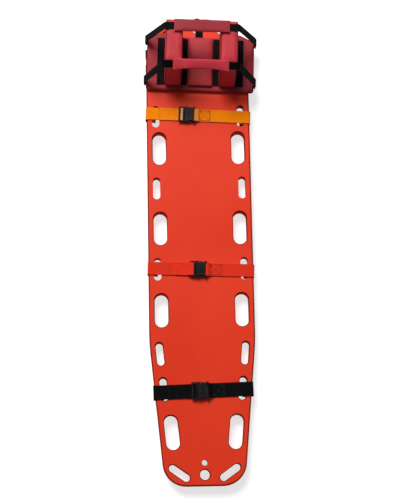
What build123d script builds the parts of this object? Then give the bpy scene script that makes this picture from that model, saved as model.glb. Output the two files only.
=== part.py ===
from build123d import *
import math
import os
from typing import NamedTuple

# Spine board for rescue work: a hollow moulded board with a foam core, three
# patient straps with side release buckles, and a head immobiliser on its own base.
# Millimetres. X runs across the board, +Y towards the patient's head, +Z up.
# The origin is the middle of the flat underside.

# Board
board_length = 1850.0
board_width = 407.0
board_thickness = 48.0
wall = 4.0
core_gap = 0.3
half_width = board_width / 2
half_length = board_length / 2
top = board_thickness


def board_y(share):
    """Distance from the middle of the board towards the head, as a share of half its length."""
    return share * half_length


foot_taper_start = board_y(-0.41027)
foot_taper_angle = 5.5
foot_taper_blend = 800.0
head_corner_radius = 170.0
foot_corner_radius = 90.0
bevel_width = 75.0
bevel_rise = 14.0
rim_radius = 8.0
hole_edge_chamfer = 3.0

# Handholds and strap slots along each rail, measured from the middle of the board
handhold_length = 130.0
handhold_width = 52.0
handhold_rail = 22.5
slot_length = 88.0
slot_width = 28.0
slot_rail = 22.0
handhold_rows = [board_y(share) for share in (0.81081, 0.41784, 0.06973, -0.27838, -0.78216)]
chest_slot_rib = 21.5
chest_slot_row = handhold_rows[1] + (handhold_length + slot_length) / 2 + chest_slot_rib
hip_slot_row = board_y(-0.10432)
leg_slot_row = board_y(-0.60541)
spare_slot_rows = [board_y(0.24378), board_y(-0.46)]
slot_rows = [chest_slot_row, hip_slot_row, leg_slot_row] + spare_slot_rows

# Slots and round holes at the two ends
end_slot_length = 90.0
end_slot_from_end = 50.0
end_slot_spacing = 192.0
end_slot_turn = 35.0
lift_hole_diameter = 38.0
lift_hole_from_end = 42.5
cord_hole_diameter = 22.0
cord_hole_from_end = 87.5

# Patient straps
webbing_thickness = 1.8
webbing_clearance = 0.3
lap_length = 40.0
anchor_lap_length = 62.0
stitch_length = 34.0
stitch_inset = 3.0
run_end_gap = 3.0
rail_bend = 2.0
top_bend = 7.0
anchor_slope_length = 18.0
slope_bend = 12.0
bar_bend = 2.0
fold_bend = 1.5
tail_bend = 4.0
tail_slope_length = 9.0

# Side release buckles, measured from the mouth of the socket
buckle_margin = 6.0
socket_length = 44.0
socket_height = 15.2
socket_wall = 5.0
socket_corner = 8.0
socket_edge = 1.6
cavity_length = 34.0
cavity_height = 8.2
bar_size = 3.8
bar_height = 4.0
bar_slot = 4.2
grip_count = 3
grip_pitch = 4.0
grip_width = 1.4
grip_depth = 0.8
base_length = 23.0
base_height = 7.6
base_corner = 5.0
plug_edge = 1.2
outer_bar = 7.0
ladder_slot = 3.8
middle_bar = 3.4
prong_length = 30.0
prong_thickness = 6.6
prong_arm = 5.0
prong_catch = 14.2
prong_root_radius = 3.0
prong_inset = 4.0
prong_tip_length = 8.0
prong_tip_slant = 5.0
prong_catch_slant = 6.0
window_start = 12.0
window_end = 32.0
moulding_clearance = 0.3
tongue_length = 24.0
tongue_width = 12.0
tongue_height = 5.2

# Head immobiliser base
base_centre_x = 13.0
base_centre_y = board_y(0.7951351)
base_yaw = -2.5
base_width = 427.0
base_depth = 240.0
base_thickness = 12.0
base_corner_cut = (55.0, 28.0)
base_corner_radius = 12.0
skin = 1.2
skin_gap = 0.3
patch_width = 120.0
patch_depth = 194.0
patch_thickness = 1.5
patch_inner_edge = 51.0

# Head pad and head blocks, in the base's own frame
head_pad_width = 100.0
head_pad_depth = 205.0
head_pad_height = 18.0
block_width = 67.5
block_height = 165.0
block_inner_edge = 73.5
block_rear = 118.0
block_bottom_depth = 221.0
block_front_slope = 48.0
block_round = 10.0
ear_hole_diameter = 48.0
ear_hole_height = 64.0
ear_hole_y = 5.0
hook_margin = 5.0
hook_gap = 0.3

# Head straps, in the base's own frame
head_webbing_width = 30.0
head_webbing_thickness = 1.5
head_pad_strap_length = 222.0
forehead_pad_width = 52.0
chin_pad_width = 47.0
strap_pad_thickness = 9.0
forehead_y = 86.0
chin_ahead = 11.0
chin_top_y = block_rear - block_bottom_depth + block_front_slope - chin_ahead
chin_leg_ahead = 16.0
chin_y = chin_top_y - chin_leg_ahead
chin_tilt = 35.0
chin_corner_tilt = 27.0
strap_clearance = 0.5
strap_bend = 4.0
ring_wire = 4.0
ring_width = 42.0
ring_height = 14.0
ring_outset = 4.5
tab_thickness = 1.2
tab_length = 45.0
fastening_length = 60.0
free_end_above_ring = 12.0

# Webbing ties that hold the base on the board
tie_width = 28.0
tie_slack = 1.2
tie_thickness = 1.5
tie_rows = [handhold_rows[0] - 32.5, handhold_rows[0] + 30.5]
end_tie_width = 30.0
end_tie_x = 11.0
end_tie_neck = 18.0
end_tie_neck_x = 3.0
end_tie_back = 8.0
end_tie_overlap = 26.0


class PatientStrap(NamedTuple):
    name: str
    y: float
    skew: float
    slot_row: float
    width: float
    socket_end: float
    tail: float
    tail_covers_base: bool


patient_straps = [
    PatientStrap("chest", chest_slot_row + 2.5, -3.0, chest_slot_row, 50.0, -9.0, 8.0, False),
    PatientStrap("hip", hip_slot_row - 3.5, -2.2, hip_slot_row, 50.0, 23.6, 55.0, True),
    PatientStrap("leg", leg_slot_row - 8.0, 1.5, leg_slot_row, 54.0, 22.5, 20.0, False),
]


def rail_x(y, rail, opening_width):
    """Distance from the middle line to the centre of an opening in the rail at y."""
    return half_width_at(y) - rail - opening_width / 2


def half_width_at(y):
    """Half the board's width at y, before the end corners."""
    below = max(0.0, foot_taper_start - y)
    return half_width - below * math.tan(math.radians(foot_taper_angle))


def rail_turn(y):
    """Angle in degrees of the right-hand rail at y."""
    return foot_taper_angle if y < foot_taper_start else 0.0


def underside_at(x, y):
    """Height of the bevelled underside at distance x from the middle line."""
    inwards = half_width_at(y) - abs(x)
    return bevel_rise * min(1.0, max(0.0, 1 - inwards / bevel_width))


# Board

def board_outline():
    foot_half = half_width_at(-half_length)
    corners = [
        (-half_width, half_length),
        (half_width, half_length),
        (half_width, foot_taper_start),
        (foot_half, -half_length),
        (-foot_half, -half_length),
        (-half_width, foot_taper_start),
    ]
    radii = [head_corner_radius] * 2 + [foot_taper_blend] + [foot_corner_radius] * 2 + [foot_taper_blend]
    return make_face(FilletPolyline(*corners, radius=radii, close=True))


def hole_cutters(grow, square=False):
    """Every opening through the board, as tall solids, wider by grow on each side."""
    tall = 3 * board_thickness
    opening = Rectangle if square else SlotOverall
    cutters = []
    for rows, length, width, rail in (
        (handhold_rows, handhold_length, handhold_width, handhold_rail),
        (slot_rows, slot_length, slot_width, slot_rail),
    ):
        for y in rows:
            for side in (-1, 1):
                place = Pos(side * rail_x(y, rail, width), y, 0)
                turn = Rot(0, 0, 90 - side * rail_turn(y))
                cutters.append(place * turn * opening(length + 2 * grow, width + 2 * grow))
    for end in (-1, 1):
        for side in (-1, 1):
            place = Pos(side * end_slot_spacing / 2, end * (half_length - end_slot_from_end), 0)
            turn = Rot(0, 0, -end * side * end_slot_turn)
            cutters.append(place * turn * opening(end_slot_length + 2 * grow, slot_width + 2 * grow))
        cutters.append(Pos(0, end * (half_length - lift_hole_from_end), 0) * Circle(lift_hole_diameter / 2 + grow))
    cutters.append(Pos(0, cord_hole_from_end - half_length, 0) * Circle(cord_hole_diameter / 2 + grow))
    return [extrude(face, amount=tall / 2, both=True) for face in cutters]


def board_form(inset):
    """The board's body without openings, drawn inward by inset all round."""
    outline = board_outline()
    rim = offset(outline, -inset) if inset else outline
    flat = offset(outline, -bevel_width)
    upper = extrude(Pos(0, 0, bevel_rise + inset) * rim, amount=top - bevel_rise - 2 * inset)
    lower = loft([Pos(0, 0, inset) * flat, Pos(0, 0, bevel_rise + inset) * rim], ruled=True)
    return upper, lower


def board_body():
    upper, lower = board_form(0)
    upper = fillet(upper.faces().sort_by(Axis.Z)[-1].edges(), rim_radius)
    body = (upper + lower) - hole_cutters(0)
    holes = body.faces().sort_by(Axis.Z)[-1].inner_wires()
    eased = [wire for wire in holes if min(wire.bounding_box().size.X, wire.bounding_box().size.Y) > slot_width + 1]
    return chamfer([edge for wire in eased for edge in wire.edges()], hole_edge_chamfer)


def board_filling(inset):
    """The inside of the shell, with square-cornered sleeves left round the openings."""
    upper, lower = board_form(inset)
    return (upper + lower) - hole_cutters(inset, square=True)


def make_board():
    return {
        "board_shell": board_body() - board_filling(wall),
        "board_core": board_filling(wall + core_gap),
    }


# Webbing

def band(points, radii, thickness, width):
    """A flat strip of width along Y whose middle line runs through points in XZ."""
    half = thickness / 2
    count = len(points)
    sides = {1: [], -1: []}
    side_radii = {1: [], -1: []}
    for i, point in enumerate(points):
        here = Vector(*point)
        before = (here - Vector(*points[i - 1])).normalized() if i else None
        after = (Vector(*points[i + 1]) - here).normalized() if i < count - 1 else None
        before, after = before or after, after or before
        normal = (Vector(-before.Y, before.X) + Vector(-after.Y, after.X)).normalized()
        reach = half / normal.dot(Vector(-before.Y, before.X))
        turn = 1 if before.X * after.Y - before.Y * after.X > 0 else -1
        radius = radii[i - 1] if 0 < i < count - 1 else 0
        for side in (1, -1):
            sides[side].append(here + normal * (side * reach))
            side_radii[side].append(max(0.0, radius - side * turn * half) if radius else 0)
    outline = sides[1] + sides[-1][::-1]
    outline_radii = side_radii[1] + side_radii[-1][::-1]
    face = make_face(FilletPolyline(*outline, radius=outline_radii, close=True))
    return extrude(Plane.XZ * face, amount=width / 2, both=True)


def closed_band(corners, radius, thickness, width):
    """A closed loop of webbing of width along Y round the corners given in XZ."""
    middle = make_face(FilletPolyline(*corners, radius=radius, close=True))
    sharp = Kind.INTERSECTION
    ring = offset(middle, thickness / 2, kind=sharp) - offset(middle, -thickness / 2, kind=sharp)
    return extrude(Plane.XZ * ring, amount=width / 2, both=True)


def stitched(low, high, start, end, width):
    """The sewn lap that joins two layers between x = start and x = end."""
    return Pos((start + end) / 2, 0, (low + high) / 2) * Box(abs(end - start), width, high - low)


low_layer = top + webbing_clearance + webbing_thickness / 2
high_layer = low_layer + webbing_clearance + webbing_thickness
fold_layer = high_layer + webbing_clearance + webbing_thickness
buckle_middle = fold_layer + webbing_thickness / 2 + webbing_clearance + base_height / 2


def rail_loop_points(strap, side):
    """From the lap on the board, down the slot, round the rail and back on top."""
    y = strap.y + side * rail_x(strap.slot_row, slot_rail, slot_width) * math.sin(math.radians(strap.skew))
    slot = rail_x(strap.slot_row, slot_rail, slot_width)
    twist = math.radians(rail_turn(y) + abs(strap.skew))
    gap = webbing_clearance + webbing_thickness / 2 + strap.width / 2 * math.tan(twist)
    rim = half_width_at(y) / math.cos(math.radians(strap.skew)) + gap
    under_slot = underside_at(slot, y) - webbing_clearance - webbing_thickness
    under_rim = bevel_rise - webbing_clearance - webbing_thickness
    lap_end = slot - slot_width / 2 - lap_length
    points = [
        (lap_end, low_layer),
        (slot, low_layer),
        (slot, under_slot),
        (rim, under_rim),
        (rim, high_layer),
    ]
    return [(side * x, z) for x, z in points], side * lap_end


loop_radii = [0.0, 0.0, rail_bend, top_bend]


def run_webbing(strap, mouth):
    """Left half of a strap: looped round the left rail, lying up to the buckle."""
    points, lap_end = rail_loop_points(strap, -1)
    run = band(points + [(mouth - run_end_gap, high_layer)], loop_radii, webbing_thickness, strap.width)
    stitches = (lap_end - stitch_inset, lap_end - stitch_length)
    return run + stitched(low_layer, high_layer, *stitches, strap.width - 2 * stitch_inset)


def anchor_webbing(strap, mouth):
    """Right half of a strap: looped round the right rail and round the socket's bar."""
    points, lap_end = rail_loop_points(strap, 1)
    bar = mouth + socket_length - bar_size / 2
    reach = bar_size / 2 + webbing_clearance + webbing_thickness / 2
    rise = bar_height / 2 + webbing_clearance + webbing_thickness / 2
    slope_end = mouth + socket_length + anchor_slope_length
    lap = mouth + socket_length + anchor_lap_length
    points += [
        (slope_end, high_layer),
        (bar + reach, buckle_middle + rise),
        (bar - reach, buckle_middle + rise),
        (bar - reach, buckle_middle - rise),
        (bar + reach, buckle_middle - rise),
        (slope_end, low_layer),
        (lap, low_layer),
    ]
    radii = loop_radii + [slope_bend, bar_bend, 0.0, 0.0, bar_bend, slope_bend]
    anchor = band(points, radii, webbing_thickness, strap.width)
    for start in (lap_end + stitch_inset, lap - stitch_inset - stitch_length):
        end = start + stitch_length
        anchor += stitched(low_layer, high_layer, start, end, strap.width - 2 * stitch_inset)
    return anchor


# Side release buckle, with the mouth of the socket at x = 0

def centred_box(x0, x1, y, z):
    """A box from x0 to x1, of size y by z about the middle plane."""
    return Pos((x0 + x1) / 2, 0, 0) * Box(x1 - x0, y, z)


def buckle_socket(width):
    outer = width + 2 * buckle_margin
    inner = outer - 2 * socket_wall
    plan = Pos(socket_length / 2, 0) * Rectangle(socket_length, outer)
    plan = fillet(plan.vertices().group_by(Axis.X)[-1], socket_corner)
    body = extrude(plan, amount=socket_height / 2, both=True)
    flats = body.faces().sort_by(Axis.Z)
    body = chamfer(flats[0].edges() + flats[-1].edges(), socket_edge)
    body -= centred_box(-1, cavity_length, inner, cavity_height)
    window = outer / 2 - inner / 2 + 1
    for side in (-1, 1):
        cut = centred_box(window_start, window_end, 2 * window, socket_height + 2)
        body -= Pos(0, side * outer / 2, 0) * cut
    bar_start = socket_length - bar_size
    opening = width + 2
    body -= centred_box(bar_start - bar_slot, bar_start, opening, socket_height + 2)
    for side in (-1, 1):
        above = centred_box(bar_start - 1, socket_length + 1, opening, socket_height)
        body -= Pos(0, 0, side * (socket_height + bar_height) / 2) * above
    for i in range(grip_count):
        x = window_start + (i + 1) * grip_pitch
        groove = centred_box(x - grip_width / 2, x + grip_width / 2, outer / 2, 2 * grip_depth)
        body -= Pos(0, 0, socket_height / 2) * groove
    return body


def prong_pivot(width, side):
    """Where a prong bends, at the front of the plug's base."""
    return Vector(-1.0, side * (width / 2 - prong_inset), 0)


def buckle_plug(width):
    outer = width + 2 * buckle_margin
    plan = Pos(-1 - base_length / 2, 0) * Rectangle(base_length, outer)
    plan = fillet(plan.vertices().group_by(Axis.X)[0], base_corner)
    body = extrude(plan, amount=base_height / 2, both=True)
    flats = body.faces().sort_by(Axis.Z)
    body = chamfer(flats[0].edges() + flats[-1].edges(), plug_edge)
    opening = width + 2
    x = -1 - base_length + outer_bar
    body -= centred_box(x, x + ladder_slot, opening, base_height + 2)
    body -= centred_box(x + ladder_slot + middle_bar, x + 2 * ladder_slot + middle_bar, opening, base_height + 2)
    above = centred_box(x, x + 2 * ladder_slot + middle_bar, opening, base_height)
    body -= Pos(0, 0, (base_height + bar_height) / 2) * above
    body -= Pos(0, 0, -(base_height + bar_height) / 2) * above
    for side in (-1, 1):
        seat = Cylinder(prong_root_radius + moulding_clearance, base_height + 2)
        body -= Pos(*prong_pivot(width, side)) * seat
    tongue = centred_box(-2, tongue_length, tongue_width, tongue_height)
    tongue = chamfer(tongue.faces().sort_by(Axis.X)[-1].edges(), plug_edge)
    return body + tongue


def buckle_prong(width, side):
    """A springy arm whose head shows in the socket's side window."""
    pivot = prong_pivot(width, 1)
    inner = pivot.Y - prong_arm / 2
    outer = pivot.Y + prong_arm / 2
    head = width / 2 + buckle_margin - 1.0
    corners = [
        (pivot.X, inner),
        (prong_length - prong_tip_length, inner),
        (prong_length, inner + prong_tip_slant),
        (prong_length, inner + prong_tip_length),
        (prong_catch + prong_catch_slant, head),
        (prong_catch, head),
        (prong_catch, outer),
        (pivot.X, outer),
    ]
    radii = [0, 6, 1, 2, 5, 1, 1, 0]
    plan = make_face(FilletPolyline(*corners, radius=radii, close=True))
    prong = extrude(plan, amount=prong_thickness / 2, both=True)
    prong += Pos(pivot.X, pivot.Y, 0) * Cylinder(prong_root_radius, prong_thickness)
    return prong if side > 0 else mirror(prong, Plane.XZ)


def buckle_fold(strap):
    """The webbing that turns over the plug's middle bar and lies back on the strap."""
    back = -1 - base_length
    front_slot = back + outer_bar + 1.5 * ladder_slot + middle_bar
    rear_slot = back + outer_bar + ladder_slot / 2
    start = high_layer - buckle_middle + webbing_thickness / 2 + 0.5
    lie = fold_layer - buckle_middle
    over = bar_height / 2 + webbing_clearance + webbing_thickness / 2
    if strap.tail_covers_base:
        over = base_height / 2 + webbing_clearance + webbing_thickness / 2
        points = [(front_slot, start), (front_slot, over), (back - 2, over), (back - tail_slope_length, lie)]
        radii = [fold_bend, tail_bend, tail_bend]
    else:
        points = [(front_slot, start), (front_slot, over), (rear_slot, over), (rear_slot, lie)]
        radii = [fold_bend] * 3
    points.append((back - strap.tail, lie))
    return band(points, radii, webbing_thickness, strap.width)


def make_patient_strap(strap):
    mouth = strap.socket_end - socket_length
    in_strap = Pos(0, strap.y, 0) * Rot(0, 0, strap.skew)
    in_buckle = in_strap * Pos(mouth, 0, buckle_middle)
    return {
        strap.name + "_run": in_strap * run_webbing(strap, mouth),
        strap.name + "_anchor": in_strap * anchor_webbing(strap, mouth),
        strap.name + "_socket": in_buckle * buckle_socket(strap.width),
        strap.name + "_plug": in_buckle * buckle_plug(strap.width),
        strap.name + "_fold": in_buckle * buckle_fold(strap),
        strap.name + "_prong_upper": in_buckle * buckle_prong(strap.width, 1),
        strap.name + "_prong_lower": in_buckle * buckle_prong(strap.width, -1),
    }


# Head immobiliser base, in its own frame with x and y from its middle

in_base = Pos(base_centre_x, base_centre_y, 0) * Rot(0, 0, base_yaw)
base_bottom = top + 2 * webbing_clearance + tie_thickness
base_top = base_bottom + base_thickness
patch_top = base_top + patch_thickness
block_bottom = patch_top + hook_gap + patch_thickness
block_top = block_bottom + block_height


def base_form(inset):
    x, y = base_width / 2, base_depth / 2
    cut_x, cut_y = base_corner_cut
    corners = [(-x, -y), (x, -y), (x, y - cut_y), (x - cut_x, y), (cut_x - x, y), (-x, y - cut_y)]
    face = make_face(FilletPolyline(*corners, radius=base_corner_radius, close=True))
    face = offset(face, -inset) if inset else face
    return extrude(Pos(0, 0, base_bottom + inset) * face, amount=base_thickness - 2 * inset)


def head_pad_form(inset):
    box = Box(head_pad_width - 2 * inset, head_pad_depth - 2 * inset, head_pad_height - 2 * inset)
    box = Pos(0, 0, base_top + head_pad_height / 2) * box
    return fillet(box.faces().sort_by(Axis.Z)[-1].edges(), 8 - inset)


def make_base():
    patches = Box(patch_width, patch_depth, patch_thickness)
    height = base_top + patch_thickness / 2
    reach = patch_inner_edge + patch_width / 2
    return {
        "base_cover": in_base * (base_form(0) - base_form(skin)),
        "base_stiffener": in_base * base_form(skin + skin_gap),
        "left_loop_patch": in_base * Pos(-reach, 0, height) * patches,
        "right_loop_patch": in_base * Pos(reach, 0, height) * patches,
        "head_pad_cover": in_base * (head_pad_form(0) - head_pad_form(skin)),
        "head_pad_foam": in_base * head_pad_form(skin + skin_gap),
    }


# Head blocks

def block_form(inset):
    """A right-hand block: a wedge-fronted prism with an ear hole through it."""
    front = block_rear - block_bottom_depth
    corners = [
        (front, block_bottom),
        (block_rear, block_bottom),
        (block_rear, block_top),
        (front + block_front_slope, block_top),
    ]
    face = make_face(FilletPolyline(*corners, radius=[3, 3, block_round, block_round], close=True))
    face = offset(face, -inset) if inset else face
    block = extrude(Plane.YZ * face, amount=block_width - 2 * inset)
    block = Pos(block_inner_edge + inset, 0, 0) * block
    hole = Rot(0, 90, 0) * Cylinder(ear_hole_diameter / 2 + inset, 3 * block_width)
    return block - Pos(block_inner_edge, ear_hole_y, block_bottom + ear_hole_height) * hole


def make_blocks():
    nodes = {}
    hook = Box(block_width - 2 * hook_margin, block_bottom_depth - 4 * hook_margin, patch_thickness)
    hook_middle = block_rear - block_bottom_depth / 2
    hook = Pos(block_inner_edge + block_width / 2, hook_middle, block_bottom - patch_thickness / 2) * hook
    pieces = {
        "cover": block_form(0) - block_form(skin),
        "foam": block_form(skin + skin_gap),
        "hook": hook,
    }
    for name, piece in pieces.items():
        nodes["right_block_" + name] = in_base * piece
        nodes["left_block_" + name] = in_base * mirror(piece, Plane.YZ)
    return nodes


# Head straps

ring_x = base_width / 2 + ring_outset
ring_low = base_bottom + base_thickness / 2
ring_high = ring_low + ring_height


def ribbon(stations, width, thickness):
    """A twisting strip through stations of (point, tilt of its width in degrees)."""
    sections = []
    for i, (point, tilt) in enumerate(stations):
        here = Vector(*point)
        before = (here - Vector(*stations[i - 1][0])).normalized() if i else None
        after = (Vector(*stations[i + 1][0]) - here).normalized() if i < len(stations) - 1 else None
        before, after = before or after, after or before
        tangent = (before + after).normalized()
        across = Vector(0, math.cos(math.radians(tilt)), math.sin(math.radians(tilt)))
        across = (across - tangent * across.dot(tangent)).normalized()
        mitre = thickness / tangent.dot(after)
        sections.append(Plane(here, x_dir=across, z_dir=tangent) * Rectangle(width, mitre))
    return loft(sections, ruled=True)


def strap_ring(y):
    """A rectangular wire ring that hangs at the base's right edge."""
    frame = RectangleRounded(ring_width, ring_height + ring_wire, 2.5)
    frame -= Rectangle(ring_width - 2 * ring_wire, ring_height - ring_wire)
    ring = extrude(Plane.YZ * frame, amount=ring_wire / 2, both=True)
    return Pos(ring_x, y, (ring_low + ring_high) / 2) * ring


def ring_tab(y):
    """The webbing that holds a ring, folded round its low bar and sewn under the base."""
    reach = ring_wire / 2 + webbing_clearance + tab_thickness / 2
    under = base_bottom - webbing_clearance - tab_thickness / 2
    corners = [(-reach, ring_low - reach), (reach, ring_low - reach), (reach, ring_low + reach), (-reach, ring_low + reach)]
    eye = closed_band(corners, 0, tab_thickness, head_webbing_width)
    tail = band([(reach, ring_low), (reach, under), (-tab_length, under)], [2.0], tab_thickness, head_webbing_width)
    return Pos(ring_x, y, 0) * (eye + tail)


block_outer = block_inner_edge + block_width
corner_x = block_outer + strap_clearance + 2 * head_webbing_thickness
strap_height = block_top + strap_clearance + head_webbing_thickness / 2
pad_half = head_pad_strap_length / 2
eye_inner = ring_wire / math.sqrt(2) + webbing_clearance
eye_middle = eye_inner + tab_thickness / 2
sewn_margin = 0.3
sewn_leg_start = -0.8
layer_step = (head_webbing_thickness + tab_thickness + sewn_margin) / 2 + webbing_clearance


def strap_eye(y, thickness):
    """The round eye in which webbing turns on the top bar of a right-hand ring, sewn to its own leg."""
    eye = Circle(eye_inner + thickness + sewn_margin) - Circle(eye_inner)
    return Pos(ring_x, y, ring_high) * extrude(Plane.XZ * eye, amount=head_webbing_width / 2, both=True)


def leg_end(corner, y, outset, along):
    """A point on a leg that leaves the right ring's eye outset further out, along its run."""
    eye = Vector(ring_x, y, ring_high)
    up = (Vector(*corner) - eye).normalized()
    out = Vector(up.Z, 0, -up.X).normalized()
    return tuple(eye + out * (eye_middle + outset) + up * along)


def forehead_stations(outset, along):
    """The right half of the forehead strap, from its pad out to its ring."""
    corner = (corner_x + 2, forehead_y, strap_height - 5)
    return [
        ((pad_half, forehead_y, strap_height), 0),
        ((block_outer, forehead_y, strap_height), 0),
        (corner, 0),
        (leg_end(corner, forehead_y, outset, along), 0),
    ]


def chin_stations(outset, along):
    """The right half of the chin strap, from its tilted pad out to its ring."""
    drop = (chin_pad_width / 2 - 3) * math.sin(math.radians(chin_tilt))
    height = strap_height - drop + 2
    corner = (corner_x + 4, chin_top_y - 1, height - 8)
    end = leg_end(corner, chin_y, outset, along)
    turned = along / (along + (Vector(*corner) - Vector(*end)).length)
    return [
        ((pad_half, chin_top_y, height), chin_tilt),
        ((block_outer - 3, chin_top_y, height), chin_tilt),
        (corner, chin_corner_tilt),
        (end, chin_corner_tilt * turned),
    ]


def head_strap(stations_of, y):
    """A head strap from the eye on its left ring, over the blocks, to its free right end."""
    right = stations_of(layer_step, free_end_above_ring)
    outset = (head_webbing_thickness + sewn_margin - tab_thickness) / 2
    left = [((-x, y, z), tilt) for (x, y, z), tilt in reversed(stations_of(outset, sewn_leg_start))]
    if any(tilt for _, tilt in right):
        strap = ribbon(left + right, head_webbing_width, head_webbing_thickness)
    else:
        points = [(x, z) for (x, _, z), _ in left[:-1] + right[1:]]
        strap = band(points, [strap_bend] * 4, head_webbing_thickness, head_webbing_width)
        strap = Pos(0, y, 0) * strap
    return strap + mirror(strap_eye(y, head_webbing_thickness), Plane.YZ)


def strap_pad(stations_of, width):
    """The padded sleeve on the middle of a head strap, over its webbing."""
    (_, y, z), tilt = stations_of(0, 0)[0]
    pad = Box(head_pad_strap_length, width, strap_pad_thickness)
    pad = fillet(pad.faces().sort_by(Axis.Z)[-1].edges(), 3)
    lift = (head_webbing_thickness + strap_pad_thickness) / 2
    return Pos(0, y, z) * Rot(tilt, 0, 0) * Pos(0, 0, lift) * pad


def fastening_tab(stations_of, y):
    """The loop tab on a right-hand ring, under the strap's free end and in line with it."""
    (corner, tilt), (free, _) = stations_of(layer_step, free_end_above_ring)[-2:]
    end, _ = stations_of(sewn_margin / 2, sewn_leg_start)[-1]
    leg = Vector(*corner) - Vector(*free)
    end = Vector(*end)
    high = end + leg.normalized() * fastening_length
    turned = tilt * fastening_length / (leg.length + free_end_above_ring)
    strip = ribbon([(end, 0), (high, turned)], head_webbing_width, tab_thickness)
    return strip + strap_eye(y, tab_thickness)


def make_head_straps():
    rings = [strap_ring(y) for y in (forehead_y, chin_y)]
    tabs = [ring_tab(y) for y in (forehead_y, chin_y)]
    rings += [mirror(ring, Plane.YZ) for ring in rings]
    tabs += [mirror(tab, Plane.YZ) for tab in tabs]
    fastening = [fastening_tab(forehead_stations, forehead_y), fastening_tab(chin_stations, chin_y)]
    return {
        "strap_rings": in_base * Compound(children=rings),
        "ring_tabs": in_base * Compound(children=tabs),
        "fastening_tabs": in_base * Compound(children=fastening),
        "forehead_strap": in_base * head_strap(forehead_stations, forehead_y),
        "forehead_pad": in_base * strap_pad(forehead_stations, forehead_pad_width),
        "chin_strap": in_base * head_strap(chin_stations, chin_y),
        "chin_pad": in_base * strap_pad(chin_stations, chin_pad_width),
    }


# Ties that hold the base on the board

def rail_tie(y):
    """A webbing loop round the right rail, through the hidden handhold."""
    half = tie_thickness / 2
    inner = half_width - handhold_rail - tie_slack - half
    rim = half_width + webbing_clearance + half
    over = top + webbing_clearance + half
    corners = [
        (inner, over),
        (inner, underside_at(inner, y) - webbing_clearance - half - 0.2),
        (rim, bevel_rise - webbing_clearance - half - 0.2),
        (rim, over),
    ]
    return Pos(0, y, 0) * closed_band(corners, [0, 0, 2.5, 2.5], tie_thickness, tie_width)


def end_tie():
    """A loop through the head-end hole, with its tongue sewn under the base."""
    half = tie_thickness / 2
    hole = half_length - lift_hole_from_end
    inner = hole + lift_hole_diameter / 2 - end_tie_back
    rim = half_length + webbing_clearance + half
    over = top + webbing_clearance + half
    under = underside_at(half_width - (half_length - inner), 0) - webbing_clearance - half - 0.2
    under_rim = bevel_rise - webbing_clearance - half - 0.2
    corners = [(inner, over), (inner, under), (rim, under_rim), (rim, over)]
    neck = closed_band(corners, [0, 0, 2.5, 2.5], tie_thickness, end_tie_neck)
    start = base_centre_y + base_depth / 2 - end_tie_overlap
    end = half_length - rim_radius
    tongue = Box(end - start, end_tie_width, tie_thickness)
    tongue = Pos((start + end) / 2, end_tie_neck_x - end_tie_x, over) * tongue
    return Pos(end_tie_neck_x, 0, 0) * Rot(0, 0, 90) * (neck + tongue)


def make_ties():
    right = [rail_tie(y) for y in tie_rows]
    left = [mirror(tie, Plane.YZ) for tie in right]
    return {
        "left_ties": Compound(children=left),
        "right_ties": Compound(children=right),
        "end_tie": end_tie(),
    }


def make_all():
    nodes = make_board()
    for strap in patient_straps:
        nodes.update(make_patient_strap(strap))
    nodes.update(make_base())
    nodes.update(make_blocks())
    nodes.update(make_head_straps())
    nodes.update(make_ties())
    return nodes


os.makedirs("parts", exist_ok=True)
for node_name, shape in make_all().items():
    export_step(shape, "parts/" + node_name + ".step")
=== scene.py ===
# %% [markdown]
# # A spine board with three straps and a head immobiliser
# The board, its buckles and everything that moves already exist as exact solids. This file dresses them:
# it gives each surface its finish, and replaces webbing, cushions and foam blocks by softer modelled pieces.
# Every length is in metres. X runs across the board, +Y towards the patient's head, and +Z up.

# %% Load the solids
import math
from typing import NamedTuple

import bmesh
import bpy
from mathutils import Matrix, Vector
from mathutils.bvhtree import BVHTree


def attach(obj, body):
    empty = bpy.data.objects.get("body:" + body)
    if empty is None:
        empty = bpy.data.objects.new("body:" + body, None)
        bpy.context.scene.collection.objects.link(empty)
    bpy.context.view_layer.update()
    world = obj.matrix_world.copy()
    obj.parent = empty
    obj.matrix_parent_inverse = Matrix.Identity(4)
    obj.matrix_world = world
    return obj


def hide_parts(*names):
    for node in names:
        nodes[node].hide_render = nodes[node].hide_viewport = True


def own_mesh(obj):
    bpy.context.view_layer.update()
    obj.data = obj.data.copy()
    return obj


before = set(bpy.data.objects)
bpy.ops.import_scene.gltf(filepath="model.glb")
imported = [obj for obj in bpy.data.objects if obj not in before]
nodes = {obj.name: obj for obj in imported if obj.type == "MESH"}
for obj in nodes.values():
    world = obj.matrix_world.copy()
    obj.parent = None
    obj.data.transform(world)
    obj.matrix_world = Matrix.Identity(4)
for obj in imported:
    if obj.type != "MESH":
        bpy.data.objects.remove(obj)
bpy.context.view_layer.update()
scene = bpy.context.scene

# %% [markdown]
# ## Camera
# The picture was taken from about five metres above the board with a long lens, a little towards the foot
# end. Three small angles turn the camera from straight down. The lens is given as the focal length in pixels
# of a picture 500 pixels high, and 36 mm is the height of the camera's sensor.

# %% Camera
camera_place = Vector((-0.1655, -1.0097, 5.0))
camera_pitch = -11.27
camera_yaw = 1.85
camera_roll = 0.76
focal_pixels = 1302.6
picture_height = 500
sensor_height = 36.0


def shown(name, data):
    """Puts a mesh, a lamp or a camera into the scene as an object."""
    piece = bpy.data.objects.new(name, data)
    scene.collection.objects.link(piece)
    return piece


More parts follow.
